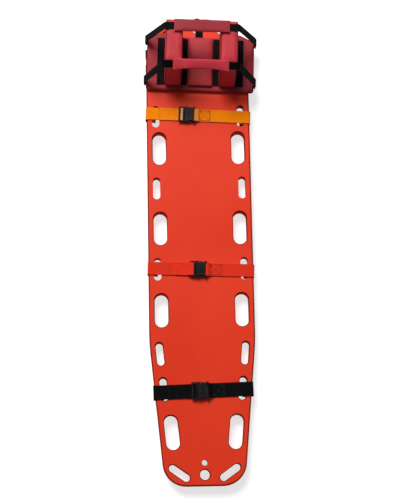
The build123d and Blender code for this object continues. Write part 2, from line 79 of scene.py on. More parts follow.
def make_camera():
    camera = bpy.data.cameras.new("camera")
    camera.sensor_width = sensor_height
    camera.lens = focal_pixels * sensor_height / picture_height
    camera.clip_end = 100.0
    pitch = Matrix.Rotation(math.radians(camera_pitch), 3, "X")
    yaw = Matrix.Rotation(math.radians(camera_yaw), 3, "Y")
    roll = Matrix.Rotation(math.radians(camera_roll), 3, "Z")
    holder = shown("camera", camera)
    holder.matrix_world = Matrix.Translation(camera_place) @ (roll @ yaw @ pitch).transposed().to_4x4()
    scene.camera = holder


make_camera()

# %% [markdown]
# ## Building materials in code
# A material is a small graph of nodes. A few helpers keep the graphs short: feed() fills a node's sockets
# with numbers or links, and new_group() starts a group, which is a graph with named sockets of its own that
# several materials share.

# %% Helpers for node graphs


def feed(tree, node, inputs):
    """Fills a node's sockets from a dict of plain values or of other nodes' outputs."""
    for name, value in inputs.items():
        if isinstance(value, bpy.types.NodeSocket):
            tree.links.new(value, node.inputs[name])
        else:
            node.inputs[name].default_value = value


def add(tree, kind, inputs=None, **settings):
    """Adds a node with its settings and its inputs."""
    made = tree.nodes.new(kind)
    for name, value in settings.items():
        setattr(made, name, value)
    feed(tree, made, inputs or {})
    return made


def maths(tree, operation, *values):
    """The result of one arithmetic node."""
    return add(tree, "ShaderNodeMath", dict(enumerate(values)), operation=operation).outputs[0]


def noise(tree, place, scale, detail, distortion=0.0):
    inputs = {"Vector": place, "Scale": scale, "Detail": detail, "Distortion": distortion}
    return add(tree, "ShaderNodeTexNoise", inputs).outputs[0]


def spread(tree, value, low, high):
    """Stretches the range from low to high to 0 to 1."""
    return add(tree, "ShaderNodeMapRange", {"Value": value, "From Min": low, "From Max": high}).outputs[0]


def object_place(tree):
    return add(tree, "ShaderNodeTexCoord").outputs["Object"]


def mix_colour(tree, factor, first, second):
    made = add(tree, "ShaderNodeMix", data_type="RGBA")
    places = [i for i, s in enumerate(made.inputs) if s.type == "VALUE"][:1]
    places += [i for i, s in enumerate(made.inputs) if s.type == "RGBA"]
    feed(tree, made, dict(zip(places, (factor, first, second))))
    return next(s for s in made.outputs if s.type == "RGBA")


def new_group(name, inputs, outputs):
    """An empty shader group with named sockets; returns its tree and its input and output nodes."""
    tree = bpy.data.node_groups.new(name, "ShaderNodeTree")
    for socket_name, kind, default in inputs:
        socket = tree.interface.new_socket(socket_name, in_out="INPUT", socket_type="NodeSocket" + kind)
        socket.default_value = default
    for socket_name, kind in outputs:
        tree.interface.new_socket(socket_name, in_out="OUTPUT", socket_type="NodeSocket" + kind)
    return tree, tree.nodes.new("NodeGroupInput"), tree.nodes.new("NodeGroupOutput")


def colour(red, green, blue):
    """A colour as the eye reads it in a picture, 0 to 255, turned into the linear values of a shader."""
    linear = [((c / 255 + 0.055) / 1.055) ** 2.4 if c > 10 else c / 255 / 12.92 for c in (red, green, blue)]
    return (*linear, 1.0)


def new_material(name):
    material = bpy.data.materials.new(name)
    material.use_nodes = True
    tree = material.node_tree
    tree.nodes.clear()
    shader = tree.nodes.new("ShaderNodeBsdfPrincipled")
    output = tree.nodes.new("ShaderNodeOutputMaterial")
    tree.links.new(shader.outputs[0], output.inputs[0])
    return material, tree, shader


def use_group(tree, group, inputs):
    return add(tree, "ShaderNodeGroup", inputs, node_tree=group).outputs


# %% [markdown]
# ## Four shared effects
# Webbing is woven: where two threads cross, one lies on top, and the next crossing is the other way round.
# That is a chequer of small ridges, turned by a quarter from cell to cell. Moulded plastic has an orange peel
# of shallow dimples and a few long scratches. Coated cloth has a fine leather-like grain of little cells.
# Hook and loop tape is a dense fuzz. Each effect is one group with its own scale and strength.

# %% Weave group
millimetre = 0.001
thread_width = 1.3 * millimetre


def make_weave_group():
    tree, given, result = new_group(
        "woven threads",
        [
            ("Vector", "Vector", (0, 0, 0)),
            ("Thread", "Float", thread_width),
            ("Light", "Color", (1, 1, 1, 1)),
            ("Dark", "Color", (0, 0, 0, 1)),
            ("Fading", "Float", 0.3),
        ],
        [("Color", "Color"), ("Height", "Float")],
    )
    given = given.outputs
    split = add(tree, "ShaderNodeSeparateXYZ", {0: given["Vector"]}).outputs
    along, across = [maths(tree, "DIVIDE", split[i], given["Thread"]) for i in (0, 1)]
    ridges = []
    for steps in (along, across):
        wave = maths(tree, "SINE", maths(tree, "MULTIPLY", steps, math.pi))
        ridges.append(maths(tree, "ABSOLUTE", wave))
    cells = maths(tree, "ADD", maths(tree, "FLOOR", along), maths(tree, "FLOOR", across))
    parity = maths(tree, "PINGPONG", cells, 1.0)
    other = maths(tree, "SUBTRACT", 1.0, parity)
    lengthways = maths(tree, "MULTIPLY", ridges[0], parity)
    crossways = maths(tree, "MULTIPLY", ridges[1], other)
    height = maths(tree, "ADD", lengthways, crossways)
    broad = noise(tree, given["Vector"], 25.0, 3.0)
    fading = maths(tree, "MULTIPLY", maths(tree, "SUBTRACT", broad, 0.5), given["Fading"])
    # Crowns of threads are painted lighter, their dips darker: painted light and shade.
    tone = maths(tree, "ADD", maths(tree, "MULTIPLY_ADD", height, 0.55, 0.35), fading)
    mixed = mix_colour(tree, tone, given["Dark"], given["Light"])
    feed(tree, result, {"Color": mixed, "Height": height})
    return tree


weave_group = make_weave_group()

# %% Moulded plastic group


def make_moulded_group():
    tree, given, result = new_group(
        "moulded plastic",
        [
            ("Colour", "Color", (1, 1, 1, 1)),
            ("Shade", "Color", (0, 0, 0, 1)),
            ("Dimples", "Float", 350.0),
            ("Blotches", "Float", 3.0),
            ("Scratches", "Float", 0.3),
        ],
        [("Color", "Color"), ("Height", "Float"), ("Roughness", "Float")],
    )
    given, place = given.outputs, object_place(tree)
    peel = noise(tree, place, given["Dimples"], 2.0)
    cloud = noise(tree, place, given["Blotches"], 5.0)
    stretched = add(tree, "ShaderNodeMapping", {"Vector": place, "Scale": (60.0, 2.5, 20.0)}).outputs[0]
    streaks = noise(tree, stretched, 4.0, 8.0, 0.4)
    scratch = maths(tree, "MULTIPLY", spread(tree, streaks, 0.66, 0.7), given["Scratches"])
    base = mix_colour(tree, spread(tree, cloud, 0.3, 0.75), given["Shade"], given["Colour"])
    pale = mix_colour(tree, 0.5, given["Colour"], (1.0, 1.0, 1.0, 1.0))
    painted = mix_colour(tree, maths(tree, "MULTIPLY", scratch, 0.35), base, pale)
    rough = maths(tree, "MULTIPLY_ADD", cloud, 0.18, 0.33)
    rough = maths(tree, "ADD", rough, maths(tree, "MULTIPLY", scratch, 0.2))
    relief = maths(tree, "SUBTRACT", peel, scratch)
    feed(tree, result, {"Color": painted, "Height": relief, "Roughness": rough})
    return tree


moulded_group = make_moulded_group()

# %% Coated cloth group


def make_coated_group():
    tree, given, result = new_group(
        "coated cloth",
        [
            ("Colour", "Color", (1, 1, 1, 1)),
            ("Shade", "Color", (0, 0, 0, 1)),
            ("Grain", "Float", 650.0),
            ("Creases", "Float", 0.5),
        ],
        [("Color", "Color"), ("Height", "Float"), ("Roughness", "Float")],
    )
    given, place = given.outputs, object_place(tree)
    voronoi = {"Vector": place, "Scale": given["Grain"]}
    edges = add(tree, "ShaderNodeTexVoronoi", voronoi, feature="DISTANCE_TO_EDGE").outputs["Distance"]
    cell = spread(tree, edges, 0.0, 0.25)
    cloud = noise(tree, place, 14.0, 6.0)
    folds = maths(tree, "MULTIPLY", noise(tree, place, 38.0, 3.0, 1.2), given["Creases"])
    base = mix_colour(tree, spread(tree, cloud, 0.3, 0.7), given["Shade"], given["Colour"])
    # The grooves between the grain's cells are painted darker: painted shade.
    groove = maths(tree, "MULTIPLY", maths(tree, "SUBTRACT", 1.0, cell), 0.25)
    darker = mix_colour(tree, groove, base, given["Shade"])
    relief = maths(tree, "MULTIPLY_ADD", cell, 0.12, folds)
    rough = maths(tree, "MULTIPLY_ADD", cloud, 0.2, 0.4)
    feed(tree, result, {"Color": darker, "Height": relief, "Roughness": rough})
    return tree


coated_group = make_coated_group()

# %% Pile group for hook and loop tape


def make_pile_group():
    tree, given, result = new_group(
        "fuzzy pile",
        [("Colour", "Color", (0, 0, 0, 1)), ("Tips", "Color", (1, 1, 1, 1)), ("Fibres", "Float", 1400.0)],
        [("Color", "Color"), ("Height", "Float")],
    )
    given, place = given.outputs, object_place(tree)
    fuzz = noise(tree, place, given["Fibres"], 4.0)
    level = maths(tree, "MULTIPLY", fuzz, noise(tree, place, 180.0, 2.0))
    # Higher fuzz is painted lighter: a painted sheen on the fibre tips.
    tone = mix_colour(tree, spread(tree, level, 0.15, 0.45), given["Colour"], given["Tips"])
    feed(tree, result, {"Color": tone, "Height": level})
    return tree


pile_group = make_pile_group()
print("shader groups:", [g.name for g in bpy.data.node_groups])

# %% [markdown]
# ## The finishes
# The board is satin orange-red plastic. The webbing is matt with a woven relief and reads its pattern from a
# UV map that runs along the strap, so the threads turn with it. The covers have a soft sheen.

# %% Materials


def surface(made, main, height, strength, distance, roughness, shine=None):
    """Finishes a new material: its colour, its relief, and how rough and how shiny it is."""
    material, tree, shader = made
    relief = {"Height": height, "Strength": strength, "Distance": distance}
    normal = add(tree, "ShaderNodeBump", relief).outputs[0]
    feed(tree, shader, {"Base Color": main, "Normal": normal, "Roughness": roughness})
    if shine is not None:
        feed(tree, shader, {"Specular IOR Level": shine})
    return material


def moulded(name, main, shade, dimples, blotches, scratches, relief):
    made = new_material(name)
    looks = {"Colour": main, "Shade": shade, "Dimples": dimples, "Blotches": blotches, "Scratches": scratches}
    skin = use_group(made[1], moulded_group, looks)
    return surface(
        made, skin["Color"], skin["Height"],
        strength=0.35, distance=relief, roughness=skin["Roughness"], shine=0.2,
    )


def woven(name, light, dark, fading=0.3, pale=(1.0, 1.0, 1.0, 1.0)):
    """Webbing. Where the mesh marks a painted highlight, its threads are mixed towards a pale colour."""
    made = new_material(name)
    tree = made[1]
    place = add(tree, "ShaderNodeUVMap", uv_map="weave").outputs[0]
    looks = {"Vector": place, "Thread": thread_width, "Light": light, "Dark": dark, "Fading": fading}
    cloth = use_group(tree, weave_group, looks)
    # How strong the painted highlight is here, as the mesh gives it.
    worn = add(tree, "ShaderNodeAttribute", attribute_name="worn").outputs["Fac"]
    share = maths(tree, "MULTIPLY", worn, maths(tree, "MULTIPLY_ADD", cloth["Height"], 0.5, 0.4))
    main = mix_colour(tree, share, cloth["Color"], pale)
    return surface(
        made, main, cloth["Height"],
        strength=0.6, distance=0.25 * millimetre, roughness=0.72, shine=0.07,
    )


def coated(name, main, shade, grain=650.0, creases=0.5):
    made = new_material(name)
    looks = {"Colour": main, "Shade": shade, "Grain": grain, "Creases": creases}
    cloth = use_group(made[1], coated_group, looks)
    return surface(
        made, cloth["Color"], cloth["Height"],
        strength=0.5, distance=0.5 * millimetre, roughness=cloth["Roughness"], shine=0.16,
    )


def pile(name, main, tips):
    made = new_material(name)
    fuzz = use_group(made[1], pile_group, {"Colour": main, "Tips": tips})
    return surface(
        made, fuzz["Color"], fuzz["Height"],
        strength=0.9, distance=0.8 * millimetre, roughness=0.95, shine=0.1,
    )


def thread(name, main):
    """Sewing thread: two plies twisted, seen as fine slanting bands."""
    made = new_material(name)
    tree = made[1]
    twist = {"Vector": object_place(tree), "Scale": 700.0, "Distortion": 1.0}
    bands = add(tree, "ShaderNodeTexWave", twist, bands_direction="DIAGONAL").outputs[1]
    # The grooves between the plies are painted darker: painted shade.
    dark = (*(c * 0.55 for c in main[:3]), 1.0)
    coloured = mix_colour(tree, bands, dark, main)
    return surface(made, coloured, bands, strength=0.5, distance=0.1 * millimetre, roughness=0.6)


def shade_rims(material, upper_face, depth, strength):
    """Paints shade on a moulding's sloping rims and the first bit of its upright walls."""
    tree = material.node_tree
    shader = next(n for n in tree.nodes if n.type == "BSDF_PRINCIPLED")
    plain = shader.inputs["Base Color"].links[0].from_socket
    normal = add(tree, "ShaderNodeNewGeometry").outputs["Normal"]
    level = maths(tree, "ABSOLUTE", add(tree, "ShaderNodeSeparateXYZ", {0: normal}).outputs[2])
    height = add(tree, "ShaderNodeSeparateXYZ", {0: object_place(tree)}).outputs[2]
    slope = spread(tree, level, 0.97, 0.85)
    near_top = spread(tree, height, upper_face - depth, upper_face - depth * 0.6)
    share = maths(tree, "MULTIPLY", maths(tree, "MULTIPLY", slope, near_top), strength)
    # The colour of the painted shade on the rims.
    feed(tree, shader, {"Base Color": mix_colour(tree, share, plain, colour(78, 12, 6))})


board_finish = moulded(
    "board_plastic", colour(243, 62, 29), colour(232, 54, 23),
    dimples=420.0, blotches=3.0, scratches=0.12, relief=0.35 * millimetre,
)
# Painted shade on the board's rims, round its openings and along its outer edge.
shade_rims(board_finish, upper_face=0.048, depth=0.006, strength=0.85)
buckle_finish = moulded(
    "buckle_plastic", colour(24, 22, 26), colour(10, 9, 12),
    dimples=900.0, blotches=40.0, scratches=0.25, relief=0.12 * millimetre,
)
foam_finish = coated("foam", colour(226, 216, 180), colour(205, 192, 150), grain=320.0)
# The orange webbing's pale colour is its painted highlight where it turns over the buckle's bars.
orange_webbing = woven("orange_webbing", colour(255, 146, 8), colour(236, 104, 1), pale=colour(236, 186, 132))
red_webbing = woven("red_webbing", colour(244, 60, 34), colour(206, 34, 20))
black_webbing = woven("black_webbing", colour(13, 12, 13), colour(3, 3, 3), fading=0.1)
vinyl = coated("red_vinyl", colour(206, 60, 70), colour(190, 48, 58))
# A darker copy of the red vinyl, for the base's cover and the forehead sleeve: painted shade.
shaded_vinyl = coated("shaded_vinyl", colour(168, 48, 58), colour(148, 37, 47))
pad_vinyl = coated("pad_vinyl", colour(184, 57, 63), colour(166, 45, 52), creases=0.7)
# A lighter copy of the red vinyl, for the chin sleeve: painted light.
lit_chin_vinyl = coated("lit_chin_vinyl", colour(232, 70, 84), colour(212, 58, 72), creases=0.7)
piping_vinyl = coated("piping_vinyl", colour(150, 30, 42), colour(128, 22, 34), creases=0.1)
hook_tape = pile("hook_and_loop", colour(10, 8, 10), colour(34, 26, 30))
brown_thread = thread("brown_thread", colour(84, 30, 8))
crimson_thread = thread("crimson_thread", colour(170, 38, 32))
black_thread = thread("black_thread", colour(24, 24, 26))
orange_thread = thread("orange_thread", colour(236, 128, 24))
red_thread = thread("red_thread", colour(206, 84, 94))
print("materials:", len(bpy.data.materials))

# %% [markdown]
# ## Finishing the rigid solids
# The board, the buckles and the hook and loop fields keep their exact shape. Each only gets its material. On
# the buckles, a weld and a hair-wide bevel make the edges catch the light as moulded edges do. They are
# modifiers, so they leave the mesh itself as it is.

# %% Rigid nodes
patient_strap_names = ("chest", "hip", "leg")


def finish_solid(name, material, edge=0.0):
    piece = nodes[name]
    piece.data.materials.clear()
    piece.data.materials.append(material)
    if edge:
        weld = piece.modifiers.new("weld", "WELD")
        weld.merge_threshold = 0.005 * millimetre
        bevel = piece.modifiers.new("edges", "BEVEL")
        bevel.width = edge
        bevel.segments = 2
        bevel.limit_method = "ANGLE"
        bevel.angle_limit = math.radians(40)


finish_solid("board_shell", board_finish)
finish_solid("board_core", foam_finish)
finish_solid("base_stiffener", buckle_finish)
for strap_name in patient_strap_names:
    for part in ("socket", "plug", "prong_upper", "prong_lower"):
        finish_solid(f"{strap_name}_{part}", buckle_finish, edge=0.35 * millimetre)
# The hook and loop fields are black tape; beside the blocks their black also stands in for the shade there.
for node_name in ("left_loop_patch", "right_loop_patch", "left_block_hook", "right_block_hook"):
    finish_solid(node_name, hook_tape)
print("rigid nodes finished")

# %% [markdown]
# ## Making webbing
# A strap is a flat strip swept along a route: corner points joined by arcs. The strip's cross section is a
# rounded rectangle that is a little thicker at its woven edges. While the strip is made, each point also gets
# a UV coordinate in metres, along and across the strap, which the weave reads.

# %% Routes and strips
face_share = 0.86  # of the webbing's full thickness, between its thicker edges
edge_round = 0.35
edge_shape = ((-0.985, 0.95), (-0.95, 1.0), (-0.9, face_share), (-0.45, face_share))
straight_turn = 0.02  # a corner that turns by less than this gets no arc


def rounded_route(points, radii, spacing=0.004):
    """Points along straight runs whose inner corners are arcs of the given radii."""
    points = [Vector(p) for p in points]
    route = [points[0]]
    for i in range(1, len(points) - 1):
        before = (points[i] - points[i - 1]).normalized()
        after = (points[i + 1] - points[i]).normalized()
        turn = before.angle(after)
        if turn < straight_turn:
            route.append(points[i])
            continue
        room = 0.48 * min((points[i] - points[i - 1]).length, (points[i + 1] - points[i]).length)
        cut = min(radii[i - 1] * math.tan(turn / 2), room)
        radius = cut / math.tan(turn / 2)
        inward = (after - before * math.cos(turn)).normalized()
        start = points[i] - before * cut
        steps = max(3, round(math.degrees(turn) / 12))
        for k in range(steps + 1):
            angle = turn * k / steps
            ahead = before * (radius * math.sin(angle))
            route.append(start + ahead + inward * (radius * (1 - math.cos(angle))))
    route.append(points[-1])
    dense = [route[0]]
    for point in route[1:]:
        spans = max(1, round((point - dense[-1]).length / spacing))
        for left in range(spans, 1, -1):
            dense.append(dense[-1] + (point - dense[-1]) / left)
        dense.append(point)
    return [p for i, p in enumerate(dense) if i == 0 or (p - dense[i - 1]).length > 1e-6]


def strip_section(width, thickness):
    """The outline of webbing seen end on: (across, out of its face), with slightly thicker edges."""
    half, rise = width / 2, thickness / 2
    upper = [(-half, 0.0), (rise * edge_round - half, rise * 0.55)]
    upper += [(x * half, z * rise) for x, z in edge_shape]
    upper += [(-x, z) for x, z in reversed(upper)]
    return upper + [(x, -z) for x, z in reversed(upper)][1:-1]


def make_strip(name, route, across, width, thickness, material, closed=False, worn=()):
    """A strap along route. across is one direction, or one for each point, in which its width lies.

    The last argument lists places that get a painted highlight, each a centre and a reach.
    """
    count = len(route)
    sides = across if isinstance(across, list) else [Vector(across)] * count
    section = strip_section(width, thickness)
    mesh = bmesh.new()
    layer = mesh.loops.layers.uv.new("weave")
    highlight_layer = mesh.verts.layers.float.new("worn")
    rings = []
    travelled = [0.0]
    for i in range(1, count + 1):
        travelled.append(travelled[-1] + (route[i % count] - route[i - 1]).length)
    for i, point in enumerate(route):
        previous = route[i - 1] if i or closed else point
        following = route[(i + 1) % count] if i < count - 1 or closed else point
        tangent = (following - previous).normalized()
        side = (sides[i] - tangent * sides[i].dot(tangent)).normalized()
        normal = tangent.cross(side).normalized()
        rings.append([mesh.verts.new(point + side * a + normal * b) for a, b in section])
        # Painted highlight: pale near each given centre, fading out over its reach.
        for centre, reach in worn:
            share = min(1.0, max(0.0, 1.6 - 1.6 * (point - centre).length / reach))
            for vert in rings[-1]:
                vert[highlight_layer] = max(vert[highlight_layer], share)
    size = len(section)
    spans = count if closed else count - 1
    for i in range(spans):
        low, high = rings[i], rings[(i + 1) % count]
        for j in range(size):
            k = (j + 1) % size
            face = mesh.faces.new((low[j], low[k], high[k], high[j]))
            face.smooth = True
            ends = (travelled[i], travelled[i], travelled[i + 1], travelled[i + 1])
            for loop, along, corner in zip(face.loops, ends, (j, k, k, j)):
                loop[layer].uv = (along, section[corner][0])
    if not closed:
        for ring, along in ((rings[0][::-1], 0.0), (rings[-1], travelled[count - 1])):
            face = mesh.faces.new(ring)
            for loop in face.loops:
                loop[layer].uv = (along, 0.0)
    bmesh.ops.recalc_face_normals(mesh, faces=mesh.faces)
    return finished(name, mesh, material)


def finished(name, mesh, material):
    """Turns a bmesh into an object of the scene."""
    data = bpy.data.meshes.new(name)
    mesh.to_mesh(data)
    mesh.free()
    data.materials.append(material)
    return shown(name, data)


def settled_mesh(piece):
    """A plain mesh of the piece as its modifiers leave it."""
    bpy.context.view_layer.update()
    evaluated = piece.evaluated_get(bpy.context.evaluated_depsgraph_get())
    return bpy.data.meshes.new_from_object(evaluated)


# %% [markdown]
# ## Sewing with Geometry Nodes
# A seam is one short thread after another along a line, so a small node tree makes every seam here. It takes
# the line's edges, marks a point at every stitch, puts a stretched bead of thread there, turned along the
# line, and makes the beads real. Each seam gets its own pitch, length and thickness through named inputs.

# %% Stitch tree


class Stitch(NamedTuple):
    pitch: float
    length: float
    thickness: float


rail_stitch = Stitch(0.004, 0.0028, 0.0008)
buckle_stitch = Stitch(0.0044, 0.0036, 0.0014)
cover_stitch = Stitch(0.0042, 0.003, 0.0007)
stitch_inputs = ("Pitch", "Stitch", "Thread")
thread_lift = 0.0002


def make_stitch_tree():
    tree = bpy.data.node_groups.new("stitches", "GeometryNodeTree")
    tree.interface.new_socket("Geometry", in_out="INPUT", socket_type="NodeSocketGeometry")
    for name, default in zip(stitch_inputs, rail_stitch):
        socket = tree.interface.new_socket(name, in_out="INPUT", socket_type="NodeSocketFloat")
        socket.default_value = default
    tree.interface.new_socket("Material", in_out="INPUT", socket_type="NodeSocketMaterial")
    tree.interface.new_socket("Geometry", in_out="OUTPUT", socket_type="NodeSocketGeometry")
    given = tree.nodes.new("NodeGroupInput").outputs
    result = tree.nodes.new("NodeGroupOutput")
    line = add(tree, "GeometryNodeMeshToCurve", {"Mesh": given["Geometry"]}).outputs[0]
    spacing = {"Curve": line, "Length": given["Pitch"]}
    points = add(tree, "GeometryNodeResampleCurve", spacing, mode="LENGTH").outputs[0]
    tangent = tree.nodes.new("GeometryNodeInputTangent").outputs[0]
    turned = add(tree, "FunctionNodeAlignRotationToVector", {"Vector": tangent}, axis="X").outputs[0]
    bead = add(tree, "GeometryNodeMeshUVSphere", {"Segments": 7, "Rings": 5, "Radius": 0.5}).outputs[0]
    sizes = {0: given["Stitch"], 1: given["Thread"], 2: given["Thread"]}
    size = add(tree, "ShaderNodeCombineXYZ", sizes).outputs[0]
    placing = {"Points": points, "Instance": bead, "Rotation": turned, "Scale": size}
    beads = add(tree, "GeometryNodeInstanceOnPoints", placing).outputs[0]
    real = add(tree, "GeometryNodeRealizeInstances", {0: beads}).outputs[0]
    smooth = add(tree, "GeometryNodeSetShadeSmooth", {"Geometry": real}).outputs[0]
    dye = {"Geometry": smooth, "Material": given["Material"]}
    coloured = add(tree, "GeometryNodeSetMaterial", dye).outputs[0]
    feed(tree, result, {0: coloured})
    return tree


stitch_tree = make_stitch_tree()


def sew(name, lines, material, stitch):
    """Stitches along lines, each a list of points; returns one plain mesh."""
    mesh = bmesh.new()
    for line in lines:
        verts = [mesh.verts.new(p) for p in line]
        for a, b in zip(verts, verts[1:]):
            mesh.edges.new((a, b))
    rough = finished(name + "_line", mesh, material)
    modifier = rough.modifiers.new("stitches", "NODES")
    modifier.node_group = stitch_tree
    values = dict(zip(stitch_inputs, stitch), Material=material)
    for item in stitch_tree.interface.items_tree:
        if item.in_out == "INPUT" and item.name in values:
            modifier[item.identifier] = values[item.name]
    piece = shown(name, settled_mesh(rough))
    bpy.data.objects.remove(rough)
    return piece


print("stitch tree ready")

# %% [markdown]
# ## The board's sizes
# The straps run through the board's slots and round its rails, so they start from the board's own sizes: its
# width, its taper towards the foot and the bevel under its rim.

# %% Board sizes
half_width = 0.2035
half_length = 0.925
top = 0.048
taper_start = -0.3795
taper_angle = math.radians(5.5)
bevel_width = 0.075
bevel_rise = 0.014
slot_width = 0.028
slot_rail = 0.022
clearance = 0.0003
webbing_thickness = 0.0018


def half_width_at(y):
    return half_width - max(0.0, taper_start - y) * math.tan(taper_angle)


def underside_at(x, y):
    inwards = half_width_at(y) - abs(x)
    return bevel_rise * min(1.0, max(0.0, 1 - inwards / bevel_width))


# %% [markdown]
# ## The patient straps
# Each strap has two halves. The left half starts at its sewn lap on the board, goes down through the slot,
# round the rail and back on top, up to the buckle. The right half does the same on its side and then turns
# round the bar of the buckle's socket. The plug's own piece of webbing turns over its middle bar and slides
# with it. The end of the left half under the plug is a separate piece with its own mesh. Each strap's values
# stand in one record, so that one set of functions makes all three.

# %% Strap sizes


class PatientStrap(NamedTuple):
    name: str
    y: float
    skew: float
    slot_row: float
    width: float
    socket_end: float
    tail: float
    tail_covers_base: bool
    # whether its folds at the buckle get a painted highlight
    worn_folds: bool
    box_start: float
    webbing: bpy.types.Material
    thread: bpy.types.Material
    rail_thread: bpy.types.Material
    slot: str


patient_straps = [
    PatientStrap(
        name="chest", y=0.5195, skew=-3.0, slot_row=0.517, width=0.050, socket_end=-0.009,
        tail=0.008, tail_covers_base=False, worn_folds=True, box_start=0.016,
        webbing=orange_webbing, thread=brown_thread, rail_thread=orange_thread, slot="webbing_orange",
    ),
    PatientStrap(
        name="hip", y=-0.1, skew=-2.2, slot_row=-0.0965, width=0.050, socket_end=0.0236,
        tail=0.055, tail_covers_base=True, worn_folds=False, box_start=0.008,
        webbing=red_webbing, thread=crimson_thread, rail_thread=red_thread, slot="webbing_red",
    ),
    PatientStrap(
        name="leg", y=-0.568, skew=1.5, slot_row=-0.56, width=0.054, socket_end=0.0225,
        tail=0.020, tail_covers_base=False, worn_folds=False, box_start=0.016,
        webbing=black_webbing, thread=black_thread, rail_thread=black_thread, slot="webbing_black",
    ),
]
lap_length = 0.040
anchor_lap_length = 0.062
stitch_length = 0.034
box_end = 0.054
run_end_gap = 0.003
socket_length = 0.044
bar_size = 0.0038
bar_height = 0.004
base_length = 0.023
base_height = 0.0076
outer_bar = 0.007
ladder_slot = 0.0038
middle_bar = 0.0034
plug_gap = 0.001
gather_length = 0.1
slope_length = 0.018
row_gap = 0.003
rail_box_start = 0.006
outer_box_inset = 0.004
inner_box_inset = 0.0064
rail_radii = [0.003, 0.003, 0.0028, 0.007]
bar_radii = [0.012, 0.002, 0.0016, 0.0016, 0.002, 0.012]
fold_start_gap = 0.0005
fold_radius = 0.0014
tail_bend = 0.004
over_base = 0.002  # past the base's back edge, where the tail starts to come down
past_base = 0.009  # and where it lies flat again
# how far a painted highlight reaches along a fold
highlight_reach = 0.007

low_layer = top + clearance + webbing_thickness / 2
high_layer = low_layer + clearance + webbing_thickness
fold_layer = high_layer + clearance + webbing_thickness
buckle_middle = fold_layer + webbing_thickness / 2 + clearance + base_height / 2
webbing_face = high_layer + webbing_thickness / 2 * face_share

# %% Strap routes


def in_strap(strap):
    return Matrix.Translation((0, strap.y, 0)) @ Matrix.Rotation(math.radians(strap.skew), 4, "Z")


def flat_points(points):
    """Points of a strap's side view, (x, z), as points in space."""
    return [Vector((x, 0, z)) for x, z in points]


def rail_loop(strap, side):
    """From the lap on the board, down the slot, round the rail and back on top."""
    slot = half_width_at(strap.slot_row) - slot_rail - slot_width / 2
    y = strap.y + side * slot * math.sin(math.radians(strap.skew))
    twist = (taper_angle if y < taper_start else 0.0) + abs(math.radians(strap.skew))
    gap = clearance + webbing_thickness / 2 + strap.width / 2 * math.tan(twist)
    rim = half_width_at(y) / math.cos(math.radians(strap.skew)) + gap
    under = clearance + webbing_thickness
    lap_end = slot - slot_width / 2 - lap_length
    points = [
        (side * lap_end, low_layer),
        (side * slot, low_layer),
        (side * slot, underside_at(slot, y) - under),
        (side * rim, bevel_rise - under),
        (side * rim, high_layer),
    ]
    return points, side * lap_end


def strap_strip(strap, part, points, radii, body, worn=()):
    """One length of a patient strap, through (x, z) points of its side view, riding on a body."""
    place = in_strap(strap)
    route = [place @ p for p in rounded_route(flat_points(points), radii, 0.002 if worn else 0.004)]
    across = place.to_3x3() @ Vector((0, 1, 0))
    worn = [(place @ Vector((x, 0, z)), reach) for x, z, reach in worn]
    name = f"{strap.name}_{part}"
    strip = make_strip(name, route, across, strap.width, webbing_thickness, strap.webbing, worn=worn)
    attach(strip, body)
    return strip


def dense_line(points, spacing=0.004, closed=False):
    points = [Vector(p) for p in points]
    if closed:
        points.append(points[0])
    line = [points[0]]
    for a, b in zip(points, points[1:]):
        steps = max(1, round((b - a).length / spacing))
        line += [a.lerp(b, k / steps) for k in range(1, steps + 1)]
    return line


def laid_on(piece, lines, lift):
    """Drops lines from above onto a piece, lift above its surface."""
    bpy.context.view_layer.update()
    tree = BVHTree.FromObject(piece, bpy.context.evaluated_depsgraph_get())
    laid = []
    for line in lines:
        laid.append([])
        for point in dense_line(line):
            place = tree.ray_cast(point + Vector((0, 0, 0.05)), Vector((0, 0, -1)))[0]
            laid[-1].append((place or point) + Vector((0, 0, lift)))
    return laid


def crossed_box(strap, start, end, z, inset=outer_box_inset):
    """The lines of a sewn box with a cross in it and a second row at its end."""
    half = strap.width / 2 - inset
    place = in_strap(strap)
    corners = ((start, -half), (end, -half), (end, half), (start, half))
    a, b, c, d = [place @ Vector((x, y, z)) for x, y in corners]
    second = place.to_3x3() @ Vector((math.copysign(row_gap, end - start), 0, 0))
    return [[a, b], [b, c], [c, d], [d, a], [a, c], [b, d], [b + second, c + second]]


# %% Patient straps


def make_run(strap):
    """The left half up to the plug. Returns where its lap ends."""
    points, lap_end = rail_loop(strap, -1)
    mouth = strap.socket_end - socket_length
    gather_start = mouth - gather_length
    run = strap_strip(strap, "run_webbing", [*points, (gather_start, high_layer)], rail_radii, "board")
    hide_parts(strap.name + "_run")
    points = [(gather_start, high_layer), (mouth - run_end_gap, high_layer)]
    gather = strap_strip(strap, "run_end", points, [], "board")
    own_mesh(gather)
    return lap_end


def make_anchor(strap):
    """The right half, which ends in a lap round the socket's bar. Returns where its other lap ends."""
    points, lap_end = rail_loop(strap, 1)
    bar = strap.socket_end - bar_size / 2
    reach = bar_size / 2 + clearance + webbing_thickness / 2
    rise = bar_height / 2 + clearance + webbing_thickness / 2
    slope_end = strap.socket_end + slope_length
    points += [
        (slope_end, high_layer),
        (bar + reach, buckle_middle + rise),
        (bar - reach, buckle_middle + rise),
        (bar - reach, buckle_middle - rise),
        (bar + reach, buckle_middle - rise),
        (slope_end, low_layer),
        (strap.socket_end + anchor_lap_length, low_layer),
    ]
    # Painted highlight where the webbing turns round the socket's bar.
    worn = [(bar + highlight_reach, buckle_middle, highlight_reach - millimetre)] if strap.worn_folds else []
    anchor = strap_strip(strap, "anchor_webbing", points, rail_radii + bar_radii, "board", worn)
    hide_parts(strap.name + "_anchor")
    box = (strap.socket_end + strap.box_start, strap.socket_end + box_end, webbing_face)
    seams = crossed_box(strap, *box) + crossed_box(strap, *box, inset=inner_box_inset)
    seams = laid_on(anchor, seams, thread_lift)
    sewing = sew(strap.name + "_buckle_stitches", seams, strap.thread, buckle_stitch)
    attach(sewing, "board")
    return lap_end


